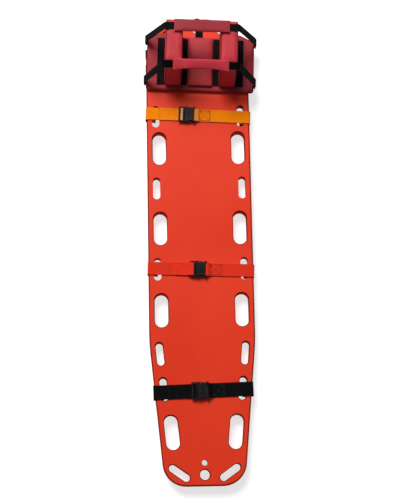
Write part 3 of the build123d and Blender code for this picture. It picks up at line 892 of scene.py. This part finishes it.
def make_fold(strap):
    """The webbing that turns over the plug's middle bar, with its tail."""
    back = strap.socket_end - socket_length - plug_gap - base_length
    front_slot = back + outer_bar + 1.5 * ladder_slot + middle_bar
    rear_slot = back + outer_bar + ladder_slot / 2
    start = high_layer + webbing_thickness / 2 + fold_start_gap
    if strap.tail_covers_base:
        over = buckle_middle + base_height / 2 + clearance + webbing_thickness / 2
        way_down = [(back - over_base, over), (back - past_base, fold_layer)]
        radii = [fold_radius, tail_bend, tail_bend]
    else:
        over = buckle_middle + bar_height / 2 + clearance + webbing_thickness / 2
        way_down = [(rear_slot, over), (rear_slot, fold_layer)]
        radii = [fold_radius] * 3
    points = [(front_slot, start), (front_slot, over), *way_down, (back - strap.tail, fold_layer)]
    # Painted highlight where the webbing turns over the plug's middle bar.
    worn = [((front_slot + rear_slot) / 2, over, highlight_reach)] if strap.worn_folds else []
    fold = strap_strip(strap, "fold_webbing", points, radii, strap.name + "_plug_body", worn)
    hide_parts(strap.name + "_fold")


def sew_laps(strap, ends):
    """The crossed boxes that hold both laps beside the rails."""
    seams = []
    for end, step in zip(ends, (-1, 1)):
        box = (end + step * rail_box_start, end + step * stitch_length, webbing_face)
        seams += crossed_box(strap, *box)
    sewing = sew(strap.name + "_rail_stitches", seams, strap.rail_thread, rail_stitch)
    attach(sewing, "board")


for strap in patient_straps:
    lap_ends = (make_run(strap), make_anchor(strap))
    sew_laps(strap, lap_ends)
    make_fold(strap)
    print(strap.name, "laps end at", [round(end, 4) for end in lap_ends])

# %% [markdown]
# ## The immobiliser's sizes
# The head immobiliser lies slightly askew on the board, so everything on it is made in the base's own frame
# and then moved and turned with it.

# %% Immobiliser sizes
base_centre_y = 0.7355
in_base = Matrix.Translation((0.013, base_centre_y, 0)) @ Matrix.Rotation(math.radians(-2.5), 4, "Z")
base_width = 0.427
base_depth = 0.240
base_thickness = 0.012
base_corner_cut = (0.055, 0.028)
tie_thickness = 0.0015
base_bottom = top + 2 * clearance + tie_thickness
base_top = base_bottom + base_thickness
patch_thickness = 0.0015
head_pad_size = (0.100, 0.205, 0.018)
block_width = 0.0675
block_height = 0.165
block_inner = 0.0735
block_rear = 0.118
block_front = block_rear - 0.221
block_slope = 0.048
block_round = 0.010
block_bottom = base_top + patch_thickness + clearance + patch_thickness
block_top = block_bottom + block_height
ear_radius = 0.024
ear_y = 0.005
ear_z = block_bottom + 0.064

# %% [markdown]
# ## Soft pieces by cloth simulation
# A cushion starts as its plain form, a little smaller than its room. A voxel remesh gives it an even net of
# faces, then Blender's Cloth is blown up slightly from inside. Points that must stay flat are pinned, and no
# point may move further than a cap. What is left is a plain mesh.

# %% Soft forms
swell_pressure = 3.0


def apply_modifiers(piece):
    data = settled_mesh(piece)
    piece.modifiers.clear()
    piece.data = data


def closed_form(low_points, high_points):
    """A solid between two equal outlines."""
    mesh = bmesh.new()
    low, high = [[mesh.verts.new(p) for p in points] for points in (low_points, high_points)]
    mesh.faces.new(low[::-1])
    mesh.faces.new(high)
    for i in range(len(low)):
        k = (i + 1) % len(low)
        mesh.faces.new((low[i], low[k], high[k], high[i]))
    bmesh.ops.recalc_face_normals(mesh, faces=mesh.faces)
    return mesh


def evenly_meshed(piece, voxel, smoothing):
    remesh = piece.modifiers.new("even", "REMESH")
    remesh.mode = "VOXEL"
    remesh.voxel_size = voxel
    relax = piece.modifiers.new("relax", "SMOOTH")
    relax.factor = 0.5
    relax.iterations = smoothing
    apply_modifiers(piece)


def puff(piece, pressure, cap, pinned):
    """Blows the piece up a little with Cloth. pinned(point) says which points stay."""
    rest = [v.co.copy() for v in piece.data.vertices]
    group = piece.vertex_groups.new(name="held")
    group.add([i for i, co in enumerate(rest) if pinned(co)], 1.0, "REPLACE")
    cloth = piece.modifiers.new("cloth", "CLOTH")
    cloth.settings.quality = 6
    cloth.settings.mass = 0.2
    cloth.settings.tension_stiffness = 25
    cloth.settings.compression_stiffness = 25
    cloth.settings.bending_stiffness = 2.0
    cloth.settings.use_pressure = True
    cloth.settings.uniform_pressure_force = pressure
    cloth.settings.effector_weights.gravity = 0.0
    cloth.settings.vertex_group_mass = "held"
    cloth.collision_settings.use_collision = False
    for step in range(1, 21):
        scene.frame_set(step)
    apply_modifiers(piece)
    scene.frame_set(1)
    for vertex, co in zip(piece.data.vertices, rest):
        move = vertex.co - co
        if move.length > cap:
            vertex.co = co + move.normalized() * cap
    piece.vertex_groups.clear()


def soften(piece, voxel, smoothing, pressure, cap, pinned):
    evenly_meshed(piece, voxel, smoothing)
    puff(piece, pressure, cap, pinned)
    piece.data.shade_smooth()
    finer = piece.modifiers.new("finer", "SUBSURF")
    finer.levels = 1
    finer.render_levels = 1


def draped_line(piece, line, lift=thread_lift):
    """Moves each point of a line onto the nearest place of a soft piece, lift above its surface."""
    bpy.context.view_layer.update()
    tree = BVHTree.FromObject(piece, bpy.context.evaluated_depsgraph_get())
    laid = []
    for point in line:
        place, normal, _, _ = tree.find_nearest(point)
        laid.append(place + normal * lift)
    return laid


def make_tube(name, line, radius, material, closed=False, sides=8):
    """A round bead of trim along a line."""
    count = len(line)
    mesh = bmesh.new()
    rings = []
    side = None
    for i, point in enumerate(line):
        before = line[i - 1] if i or closed else point
        after = line[(i + 1) % count] if i < count - 1 or closed else point
        tangent = (after - before).normalized()
        if side is None:
            side = tangent.orthogonal().normalized()
        side = (side - tangent * side.dot(tangent)).normalized()
        other = tangent.cross(side)
        turns = [math.tau * k / sides for k in range(sides)]
        spokes = [side * math.cos(t) + other * math.sin(t) for t in turns]
        rings.append([mesh.verts.new(point + spoke * radius) for spoke in spokes])
    for i in range(count if closed else count - 1):
        low, high = rings[i], rings[(i + 1) % count]
        for j in range(sides):
            k = (j + 1) % sides
            mesh.faces.new((low[j], low[k], high[k], high[j])).smooth = True
    if not closed:
        mesh.faces.new(rings[0][::-1])
        mesh.faces.new(rings[-1])
    bmesh.ops.recalc_face_normals(mesh, faces=mesh.faces)
    return finished(name, mesh, material)


# %% [markdown]
# ## The base
# The base is a stiff sheet in a coated cover, so it isn't blown up. Its two rear corners are cut, and they
# rise a little where the forehead strap pulls at them. Between them the rear edge is scooped out. A bound
# edge runs all round, with a line of stitches inside it.

# %% Base cover
corner_lift = 0.004
lift_start = (0.12, 0.02)
lift_span = (0.09, 0.1)
rear_scoop = 0.016
rear_scoop_half = 0.080
scoop_slant = 0.003
base_corner_radius = 0.012
base_inset = (0.002, 0.0004)  # at its edge and at each face, before the remesh
binding_inset = 0.0016
binding_radius = 0.0022
piping_radius = 0.0019
seam_inset = 0.009


def base_outline(inset):
    x, y = base_width / 2 - inset, base_depth / 2 - inset
    cut_x, cut_y = base_corner_cut
    corners = [(-x, -y), (x, -y), (x, y - cut_y), (x - cut_x, y), (cut_x - x, y), (-x, y - cut_y)]
    scoop = [(rear_scoop_half, y), (rear_scoop_half - scoop_slant, y - rear_scoop)]
    scoop += [(-a, b) for a, b in reversed(scoop)]
    corners[4:4] = scoop
    points = [Vector((*c, 0)) for c in corners]
    middle = (points[0] + points[1]) / 2
    radius = base_corner_radius - min(inset, base_corner_radius / 2)
    return rounded_route([middle, *points[1:], points[0], middle], [radius] * len(points), 0.006)[:-1]


def trim(name, line, radius, body):
    """A closed bead of piping."""
    bead = make_tube(name, line, radius, piping_vinyl, closed=True)
    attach(bead, body)


def raise_corners(co):
    """How far the base's rear corners are pulled up at a place."""
    lift = corner_lift
    for place, start, span in zip((abs(co.x), co.y), lift_start, lift_span):
        lift *= min(1.0, max(0.0, (place - start) / span)) ** 2
    return lift


def make_base():
    edge_inset, face_inset = base_inset
    outline = base_outline(edge_inset)
    faces = [[(p.x, p.y, z) for p in outline] for z in (base_bottom + face_inset, base_top - face_inset)]
    base = finished("base_cushion", closed_form(*faces), shaded_vinyl)
    evenly_meshed(base, voxel=0.0035, smoothing=3)
    for vertex in base.data.vertices:
        vertex.co.z += raise_corners(vertex.co)
    base.data.shade_smooth()
    base.data.transform(in_base)
    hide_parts("base_cover", "base_stiffener")
    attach(base, "board")

    rim = base_outline(binding_inset)
    middle = (base_bottom + base_top) / 2
    edge = [in_base @ Vector((p.x, p.y, middle + raise_corners(p))) for p in rim]
    trim("base_binding", edge, binding_radius, "board")
    line = [in_base @ Vector((p.x, p.y, base_top)) for p in base_outline(seam_inset)]
    seam = sew("base_stitches", [draped_line(base, line + line[:1])], red_thread, cover_stitch)
    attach(seam, "board")
    return base


base = make_base()
print("base:", len(base.data.vertices), "points")

# %% [markdown]
# ## The centre cushion
# The patient's head lies on this pad. It is the softest piece, so it swells most.

# %% Head pad
swell_room = (0.003, 0.004, 0.0045)  # the plain form is this much smaller than the pad
pad_foot = 0.0012


def box_form(size, centre):
    mesh = bmesh.new()
    bmesh.ops.create_cube(mesh, size=1.0)
    for vertex in mesh.verts:
        vertex.co = Vector(c + v * s for c, v, s in zip(centre, vertex.co, size))
    return mesh


def make_head_pad():
    x, y, z = head_pad_size
    form_size = [a - b for a, b in zip(head_pad_size, swell_room)]
    pad = finished("head_pad", box_form(form_size, (0, 0, base_top + z / 2 - 0.002)), pad_vinyl)
    soften(
        pad, voxel=0.0035, smoothing=4, pressure=swell_pressure, cap=0.004,
        pinned=lambda co: co.z < base_top + pad_foot,
    )
    for vertex in pad.data.vertices:
        vertex.co.z = max(vertex.co.z, base_top + clearance)
    pad.data.transform(in_base)
    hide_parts("head_pad_cover", "head_pad_foam")
    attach(pad, "board")
    half_x, half_y = x / 2 - seam_inset, y / 2 - seam_inset
    corners = [(-half_x, -half_y), (half_x, -half_y), (half_x, half_y), (-half_x, half_y)]
    line = dense_line([in_base @ Vector((a, b, base_top + z)) for a, b in corners], closed=True)
    seam = sew("head_pad_stitches", [draped_line(pad, line)], red_thread, cover_stitch)
    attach(seam, "board")
    return pad


head_pad = make_head_pad()
print("head pad:", len(head_pad.data.vertices), "points")

# %% [markdown]
# ## The head blocks
# Each block is a foam prism in a sewn cover, with a sloping front and a round hole at the ear. Its side view
# is an outline with rounded upper corners. The hole is cut out before the remesh. Piping follows both side
# edges, and a ring of the same piping lines each end of the hole.

# %% Head blocks
block_inset = 0.0012
block_foot = 0.0035
drill_play = 0.003
hole_hem = 0.006
piping_inset = 0.0025
piping_sink = 0.0003
ear_trim_gap = 0.002
ear_trim_depth = 0.003
ear_seam_gap = 0.007
seam_end_height = 0.012
ring_steps = 48


def block_outline(inset):
    corners = [
        (block_front + inset, block_bottom + inset),
        (block_rear - inset, block_bottom + inset),
        (block_rear - inset, block_top - inset),
        (block_front + block_slope + inset * 0.7, block_top - inset),
    ]
    points = [Vector((0, y, z)) for y, z in corners]
    middle = (points[0] + points[1]) / 2
    radii = [0.004, block_round, block_round, 0.004]
    route = rounded_route([middle, *points[1:], points[0], middle], radii, 0.006)
    return [(p.y, p.z) for p in route[:-1]]


def ear_ring(x, gap):
    """A circle round the ear hole, gap outside its rim, at one x of the block."""
    radius = ear_radius + gap
    turns = [math.tau * k / ring_steps for k in range(ring_steps)]
    return [in_base @ Vector((x, ear_y + radius * math.cos(t), ear_z + radius * math.sin(t))) for t in turns]


def make_block(side):
    """side is 1 for the right block and -1 for the left one."""
    name = "right_block" if side > 0 else "left_block"
    low, high = sorted((side * block_inner, side * (block_inner + block_width)))
    sides = [[(x, *p) for p in block_outline(block_inset)] for x in (low + block_inset, high - block_inset)]
    block = finished(name + "_cushion", closed_form(*sides), vinyl)
    drill = bmesh.new()
    radius = ear_radius + drill_play
    middle = Matrix.Translation((side * (block_inner + block_width / 2), ear_y, ear_z))
    lying = middle @ Matrix.Rotation(math.pi / 2, 4, "Y")
    bmesh.ops.create_cone(
        drill, cap_ends=True, segments=ring_steps, radius1=radius, radius2=radius, depth=0.12, matrix=lying
    )
    tool = finished("drill", drill, vinyl)
    cut = block.modifiers.new("hole", "BOOLEAN")
    cut.operation = "DIFFERENCE"
    cut.object = tool
    apply_modifiers(block)
    bpy.data.objects.remove(tool)

    def held(co):
        near_hole = math.hypot(co.y - ear_y, co.z - ear_z) < ear_radius + hole_hem
        return co.z < block_bottom + block_foot or near_hole

    soften(block, voxel=0.004, smoothing=1, pressure=swell_pressure, cap=0.0016, pinned=held)
    for vertex in block.data.vertices:
        vertex.co.z = max(vertex.co.z, block_bottom + clearance)
    block.data.transform(in_base)
    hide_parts(name + "_cover", name + "_foam")
    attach(block, name)

    seams = []
    for place, edge, inward in (("inner", block_inner, side), ("outer", block_inner + block_width, -side)):
        edge *= side
        x = edge + inward * piping_inset
        line = [in_base @ Vector((x, *p)) for p in block_outline(piping_inset)]
        trim(f"{name}_piping_{place}", draped_line(block, line, -piping_sink), piping_radius, name)
        row = [in_base @ Vector((edge + inward * seam_inset, *p)) for p in block_outline(0.0)]
        seams.append(draped_line(block, [p for p in row if p.z > block_bottom + seam_end_height]))
        ring = ear_ring(edge, ear_seam_gap)
        seams.append(draped_line(block, ring + ring[:1]))
        lining = ear_ring(edge + inward * ear_trim_depth, ear_trim_gap)
        trim(f"{name}_ear_trim_{place}", lining, piping_radius, name)
    sewing = sew(name + "_stitches", seams, red_thread, cover_stitch)
    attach(sewing, name)
    return block


for side in (-1, 1):
    block = make_block(side)
    print(block.name, len(block.data.vertices), "points")

# %% [markdown]
# ## The head straps
# Black webbing runs from a ring at the base's left edge up over both blocks and down to the ring on the
# right. There its free end is pressed on a tab of loop tape, so that the strap opens. Its route is a list of
# stations, each with a tilt of the strap's width, because the chin strap lies sloping on the blocks. In the
# middle each strap wears a padded sleeve.

# %% Head strap sizes
head_webbing_width = 0.030
head_webbing_thickness = 0.0015
pad_half = 0.111
forehead_pad_width = 0.052
chin_pad_width = 0.047
strap_pad_thickness = 0.009
forehead_y = 0.086
chin_y = -0.082
chin_top_y = -0.066
chin_tilt = 35.0
chin_corner_tilt = 27.0
chin_corner_out = 0.004
chin_corner_drop = 0.008
forehead_corner_out = 0.002
forehead_corner_drop = 0.005
strap_clearance = 0.0005
ring_wire = 0.004
ring_width = 0.042
ring_height = 0.014
tab_thickness = 0.0012
ring_x = base_width / 2 + 0.0045
ring_low = base_bottom + base_thickness / 2
ring_high = ring_low + ring_height
block_outer = block_inner + block_width
corner_x = block_outer + strap_clearance + 2 * head_webbing_thickness
strap_height = block_top + strap_clearance + head_webbing_thickness / 2
eye_middle = ring_wire / math.sqrt(2) + clearance + tab_thickness / 2
sewn_margin = 0.0003
layer_step = (head_webbing_thickness + tab_thickness + sewn_margin) / 2 + clearance
free_end = 0.012
sewn_leg_start = -0.0008
fastening_length = 0.060
eye_steps = 24
head_bend = 0.006

# %% Head strap routes


def leg_end(corner, y, outset, along):
    """A point on a leg that leaves the right ring's eye, outset further out and along its run."""
    eye = Vector((ring_x, y, ring_high))
    up = (Vector(corner) - eye).normalized()
    out = Vector((up.z, 0, -up.x)).normalized()
    return eye + out * (eye_middle + outset) + up * along


def forehead_stations(outset, along):
    corner = Vector((corner_x + forehead_corner_out, forehead_y, strap_height - forehead_corner_drop))
    return [
        (Vector((pad_half, forehead_y, strap_height)), 0.0),
        (Vector((block_outer, forehead_y, strap_height)), 0.0),
        (corner, 0.0),
        (leg_end(corner, forehead_y, outset, along), 0.0),
    ]


def chin_stations(outset, along):
    drop = (chin_pad_width / 2 - 0.003) * math.sin(math.radians(chin_tilt))
    height = strap_height - drop + 0.002
    corner = Vector((corner_x + chin_corner_out, chin_top_y - 0.001, height - chin_corner_drop))
    end = leg_end(corner, chin_y, outset, along)
    return [
        (Vector((pad_half, chin_top_y, height)), chin_tilt),
        (Vector((block_outer - 0.003, chin_top_y, height)), chin_tilt),
        (corner, chin_corner_tilt),
        (end, chin_corner_tilt * along / (along + (corner - end).length)),
    ]


def tilted_strip(name, stations, radius, thickness, material):
    """A strap whose width tilts from station to station, with rounded corners on its way."""
    points = [p for p, _ in stations]
    route = rounded_route(points, [radius] * (len(points) - 2))
    across = []
    for point in route:
        best = None
        for (a, tilt_a), (b, tilt_b) in zip(stations, stations[1:]):
            span = b - a
            share = min(1.0, max(0.0, (point - a).dot(span) / span.length_squared))
            gap = (point - a.lerp(b, share)).length
            if best is None or gap < best[0] - 1e-6:
                best = (gap, tilt_a + (tilt_b - tilt_a) * share)
        tilt = math.radians(best[1])
        across.append(in_base.to_3x3() @ Vector((0, math.cos(tilt), math.sin(tilt))))
    route = [in_base @ p for p in route]
    return make_strip(name, route, across, head_webbing_width, thickness, material)


def eye_loop(name, side, y, thickness, body):
    """The loop in which webbing turns round a ring's top bar."""
    radius = ring_wire / math.sqrt(2) + clearance + (thickness + sewn_margin) / 2
    x = side * ring_x
    turns = [math.tau * k / eye_steps for k in range(eye_steps)]
    route = [in_base @ Vector((x + radius * math.cos(t), y, ring_high + radius * math.sin(t))) for t in turns]
    across = in_base.to_3x3() @ Vector((0, 1, 0))
    loop = make_strip(name, route, across, head_webbing_width, thickness, black_webbing, closed=True)
    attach(loop, body)


# %% Padded sleeves
sleeve_columns = 28
sleeve_rise = 8.0
forehead_pad_shift = 0.0015
sleeve_inset = (0.0025, 0.0012, 0.002)  # at its ends, its long edges and each face, before it swells
border = 0.006
sleeve_bar = pad_half - 0.016


def make_sleeve(name, stations_of, width, hollow, body):
    """The padded sleeve on the middle of a head strap. hollow is how far its front edge curves in."""
    centre, tilt = stations_of(0, 0)[0]
    lift = head_webbing_thickness / 2 + strap_pad_thickness / 2
    lean = math.radians(tilt - sleeve_rise if tilt else 0.0)
    shift = 0.0 if tilt else forehead_pad_shift
    on_strap = Matrix.Translation((0, centre.y + shift, centre.z)) @ Matrix.Rotation(lean, 4, "X")
    place = on_strap @ Matrix.Translation((0, 0, lift))
    sizes = (pad_half, width / 2, strap_pad_thickness / 2)
    end, half, thick = [a - b for a, b in zip(sizes, sleeve_inset)]
    shares = [2 * k / sleeve_columns - 1 for k in range(sleeve_columns + 1)]
    front = [(share * end, hollow * (1 - share * share) - half) for share in shares]
    outline = front + [(end, half), (0.0, half), (-end, half)]
    faces = [[(x, y, z) for x, y in outline] for z in (-thick, thick)]
    # The chin sleeve takes the lighter copy of the vinyl (painted light), the forehead sleeve the darker one
    # (painted shade).
    sleeve = finished(name + "_sleeve", closed_form(*faces), lit_chin_vinyl if tilt else shaded_vinyl)
    soften(
        sleeve, voxel=0.0022, smoothing=3, pressure=swell_pressure, cap=0.0022,
        pinned=lambda co: co.z < -thick + 0.0006,
    )
    sleeve.data.transform(in_base @ place)
    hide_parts(name)
    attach(sleeve, body)

    def seam(points, closed=False):
        line = [in_base @ place @ Vector((x, y, strap_pad_thickness)) for x, y in points]
        return draped_line(sleeve, dense_line(line, closed=closed))

    inner = [(x * (1 - border / pad_half), y + border) for x, y in front]
    inner += [(x, half - border) for x in (end - border, border - end)]
    seams = [seam(inner, closed=True)]
    for x in (-sleeve_bar, sleeve_bar):
        seams.append(seam([(x, border - half + hollow * 0.25), (x, half - border)]))
    sewing = sew(name + "_stitches", seams, red_thread, cover_stitch)
    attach(sewing, body)


def make_head_strap(name, stations_of, y, pad_width, hollow):
    body = name + "_strap_body"
    right = stations_of(layer_step, free_end)
    outset = (head_webbing_thickness + sewn_margin - tab_thickness) / 2
    left = [(Vector((-p.x, p.y, p.z)), tilt) for p, tilt in reversed(stations_of(outset, sewn_leg_start))]
    route = left[:-1] + right[1:]
    strap = tilted_strip(name + "_webbing", route, head_bend, head_webbing_thickness, black_webbing)
    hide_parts(name + "_strap")
    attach(strap, body)
    eye_loop(name + "_left_eye", -1, y, head_webbing_thickness, body)
    make_sleeve(name + "_pad", stations_of, pad_width, hollow, body)
    (corner, tilt), (free, _) = right[-2:]
    end = stations_of(sewn_margin / 2, sewn_leg_start)[-1][0]
    leg = corner - free
    high = end + leg.normalized() * fastening_length
    turned = tilt * fastening_length / (leg.length + free_end)
    tab = tilted_strip(name + "_fastening", [(end, 0.0), (high, turned)], 0.0, tab_thickness, hook_tape)
    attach(tab, "board")
    eye_loop(name + "_right_eye", 1, y, tab_thickness, "board")
    return tab


forehead_tab = make_head_strap("forehead", forehead_stations, forehead_y, forehead_pad_width, 0.0)
make_head_strap("chin", chin_stations, chin_y, chin_pad_width, 0.009)
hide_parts("fastening_tabs")
print("head straps made")

# %% [markdown]
# ## Rings and their tabs
# The rings are bent wire with a plastic coat: a rounded rectangle swept with a round section. Each hangs on a
# short tab of webbing that is folded round its lower bar and sewn under the base.

# %% Rings and tabs
tab_tail = 0.045


def make_ring(name, side, y):
    half = ring_width / 2 - ring_wire / 2
    low, high = ring_low, ring_high
    corners = [(0, low), (half, low), (half, high), (-half, high), (-half, low), (0, low)]
    points = [in_base @ Vector((side * ring_x, y + a, z)) for a, z in corners]
    route = rounded_route(points, [0.003] * 4, 0.005)[:-1]
    ring = make_tube(name, route, ring_wire / 2 - 0.0001, buckle_finish, closed=True, sides=12)
    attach(ring, "board")
    return ring


def make_ring_tab(name, side, y):
    reach = ring_wire / 2 + clearance + tab_thickness / 2
    under = base_bottom - clearance - tab_thickness / 2
    points = [
        (ring_x + reach, ring_low + reach),
        (ring_x - reach, ring_low + reach),
        (ring_x - reach, ring_low - reach),
        (ring_x + reach, ring_low - reach),
        (ring_x + reach, under),
        (ring_x - tab_tail, under),
    ]
    route = rounded_route([(side * x, y, z) for x, z in points], [0.0022, 0.0022, 0.0015, 0.0015])
    route = [in_base @ p for p in route]
    across = in_base.to_3x3() @ Vector((0, 1, 0))
    tab = make_strip(name, route, across, head_webbing_width, tab_thickness, black_webbing)
    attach(tab, "board")
    return tab


rings, tabs = [], []
for side, word in ((-1, "left"), (1, "right")):
    for y, place_word in ((forehead_y, "forehead"), (chin_y, "chin")):
        rings.append(make_ring(f"{word}_{place_word}_ring", side, y))
        tabs.append(make_ring_tab(f"{word}_{place_word}_ring_tab", side, y))
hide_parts("strap_rings")
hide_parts("ring_tabs")
print(len(rings), "rings,", len(tabs), "tabs")

# %% [markdown]
# ## The ties
# Webbing loops hold the base on the board: two round each rail, through the hidden handholds, and one through
# the lifting hole at the head end.

# %% Ties
tie_width = 0.028
tie_slack = 0.0012
tie_play = 0.0002
tie_bend = 0.0025
handhold_rail = 0.0225
tie_rows = (0.7175, 0.7805)
lift_hole_inset = 0.0425
lift_hole_radius = 0.019
neck_width = 0.018
neck_x = 0.003
tongue_width = 0.030
tongue_x = 0.011
tongue_under_base = 0.026
end_bar_gap = 0.008


def closed_strip(name, corners, width, across):
    points = [Vector(c) for c in corners]
    middle = (points[0] + points[-1]) / 2
    route = rounded_route([middle, *points, middle], [tie_bend] * len(points), 0.004)[:-1]
    return make_strip(name, route, across, width, tie_thickness, black_webbing, closed=True)


def make_rail_ties(side):
    word = "right" if side > 0 else "left"
    half = tie_thickness / 2
    inner = half_width - handhold_rail - tie_slack - half
    rim = half_width + clearance + half
    over = top + clearance + half
    made = []
    for number, y in enumerate(tie_rows, 1):
        corners = [
            (side * inner, y, over),
            (side * inner, y, underside_at(inner, y) - clearance - half - tie_play),
            (side * rim, y, bevel_rise - clearance - half - tie_play),
            (side * rim, y, over),
        ]
        made.append(closed_strip(f"{word}_tie_{number}", corners, tie_width, (0, 1, 0)))
    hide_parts(word + "_ties")
    return made


def make_end_tie():
    half = tie_thickness / 2
    inner = half_length - lift_hole_inset + lift_hole_radius - end_bar_gap
    rim = half_length + clearance + half
    over = top + clearance + half
    lower = underside_at(half_width - (half_length - inner), 0)
    corners = [
        (neck_x, inner, over),
        (neck_x, inner, lower - clearance - half - tie_play),
        (neck_x, rim, bevel_rise - clearance - half - tie_play),
        (neck_x, rim, over),
    ]
    neck = closed_strip("end_tie_neck", corners, neck_width, (1, 0, 0))
    start = base_centre_y + base_depth / 2 - tongue_under_base
    route = rounded_route([(tongue_x, start, over), (tongue_x, half_length - end_bar_gap, over)], [])
    tongue = make_strip("end_tie_tongue", route, (1, 0, 0), tongue_width, tie_thickness, black_webbing)
    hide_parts("end_tie")
    return [neck, tongue]


for tie in make_rail_ties(-1) + make_rail_ties(1) + make_end_tie():
    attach(tie, "board")
print("ties made")

# %% [markdown]
# ## Floor and light
# A pale floor catches the soft shadow. The camera sees it lifted towards white, which only changes what the
# camera sees and throws no more light on the board. One large soft lamp stands at the head end on the left,
# so the faces towards the foot end are darker. A weak one at the foot end fills them.

# %% Floor, world and lamp
floor_depth = -0.0022
floor_lift = 0.67
lamp_place = Vector((-2.4, 5.8, 6.9))
lamp_aim = Vector((0.0, 0.0, 0.0))
lamp_size = 5.6
lamp_power = 945.0
fill_place = Vector((0.4, -2.2, 6.0))
fill_size = 3.0
fill_power = 20.0
world_light = 0.09


def make_floor():
    mesh = bmesh.new()
    bmesh.ops.create_grid(mesh, x_segments=1, y_segments=1, size=20.0)
    material, tree, shader = new_material("floor")
    speckle = add(tree, "ShaderNodeTexNoise", {"Scale": 3.0}).outputs[0]
    tone = mix_colour(tree, speckle, (0.6, 0.6, 0.605, 1), (0.62, 0.62, 0.622, 1))
    feed(tree, shader, {"Base Color": tone, "Roughness": 0.9, "Specular IOR Level": 0.0})
    seen = add(tree, "ShaderNodeLightPath").outputs["Is Camera Ray"]
    glow = maths(tree, "MULTIPLY", seen, floor_lift)
    feed(tree, shader, {"Emission Color": (1, 1, 1, 1), "Emission Strength": glow})
    floor = finished("floor", mesh, material)
    floor.location.z = floor_depth


def make_light():
    world = bpy.data.worlds.new("studio")
    world.use_nodes = True
    scene.world = world
    tree = world.node_tree
    seen = add(tree, "ShaderNodeLightPath").outputs["Is Camera Ray"]
    level = maths(tree, "MULTIPLY_ADD", seen, 1.0 - world_light, world_light)
    feed(tree, tree.nodes["Background"], {"Color": (1, 1, 1, 1), "Strength": level})
    for name, place, size, power in (
        ("soft lamp", lamp_place, lamp_size, lamp_power),
        ("fill lamp", fill_place, fill_size, fill_power),
    ):
        lamp = bpy.data.lights.new(name, "AREA")
        lamp.shape = "DISK"
        lamp.size = size
        lamp.energy = power
        holder = shown(name, lamp)
        holder.location = place
        holder.rotation_mode = "QUATERNION"
        holder.rotation_quaternion = (lamp_aim - place).to_track_quat("-Z", "Y")


make_floor()
make_light()
scene.view_settings.view_transform = "Standard"
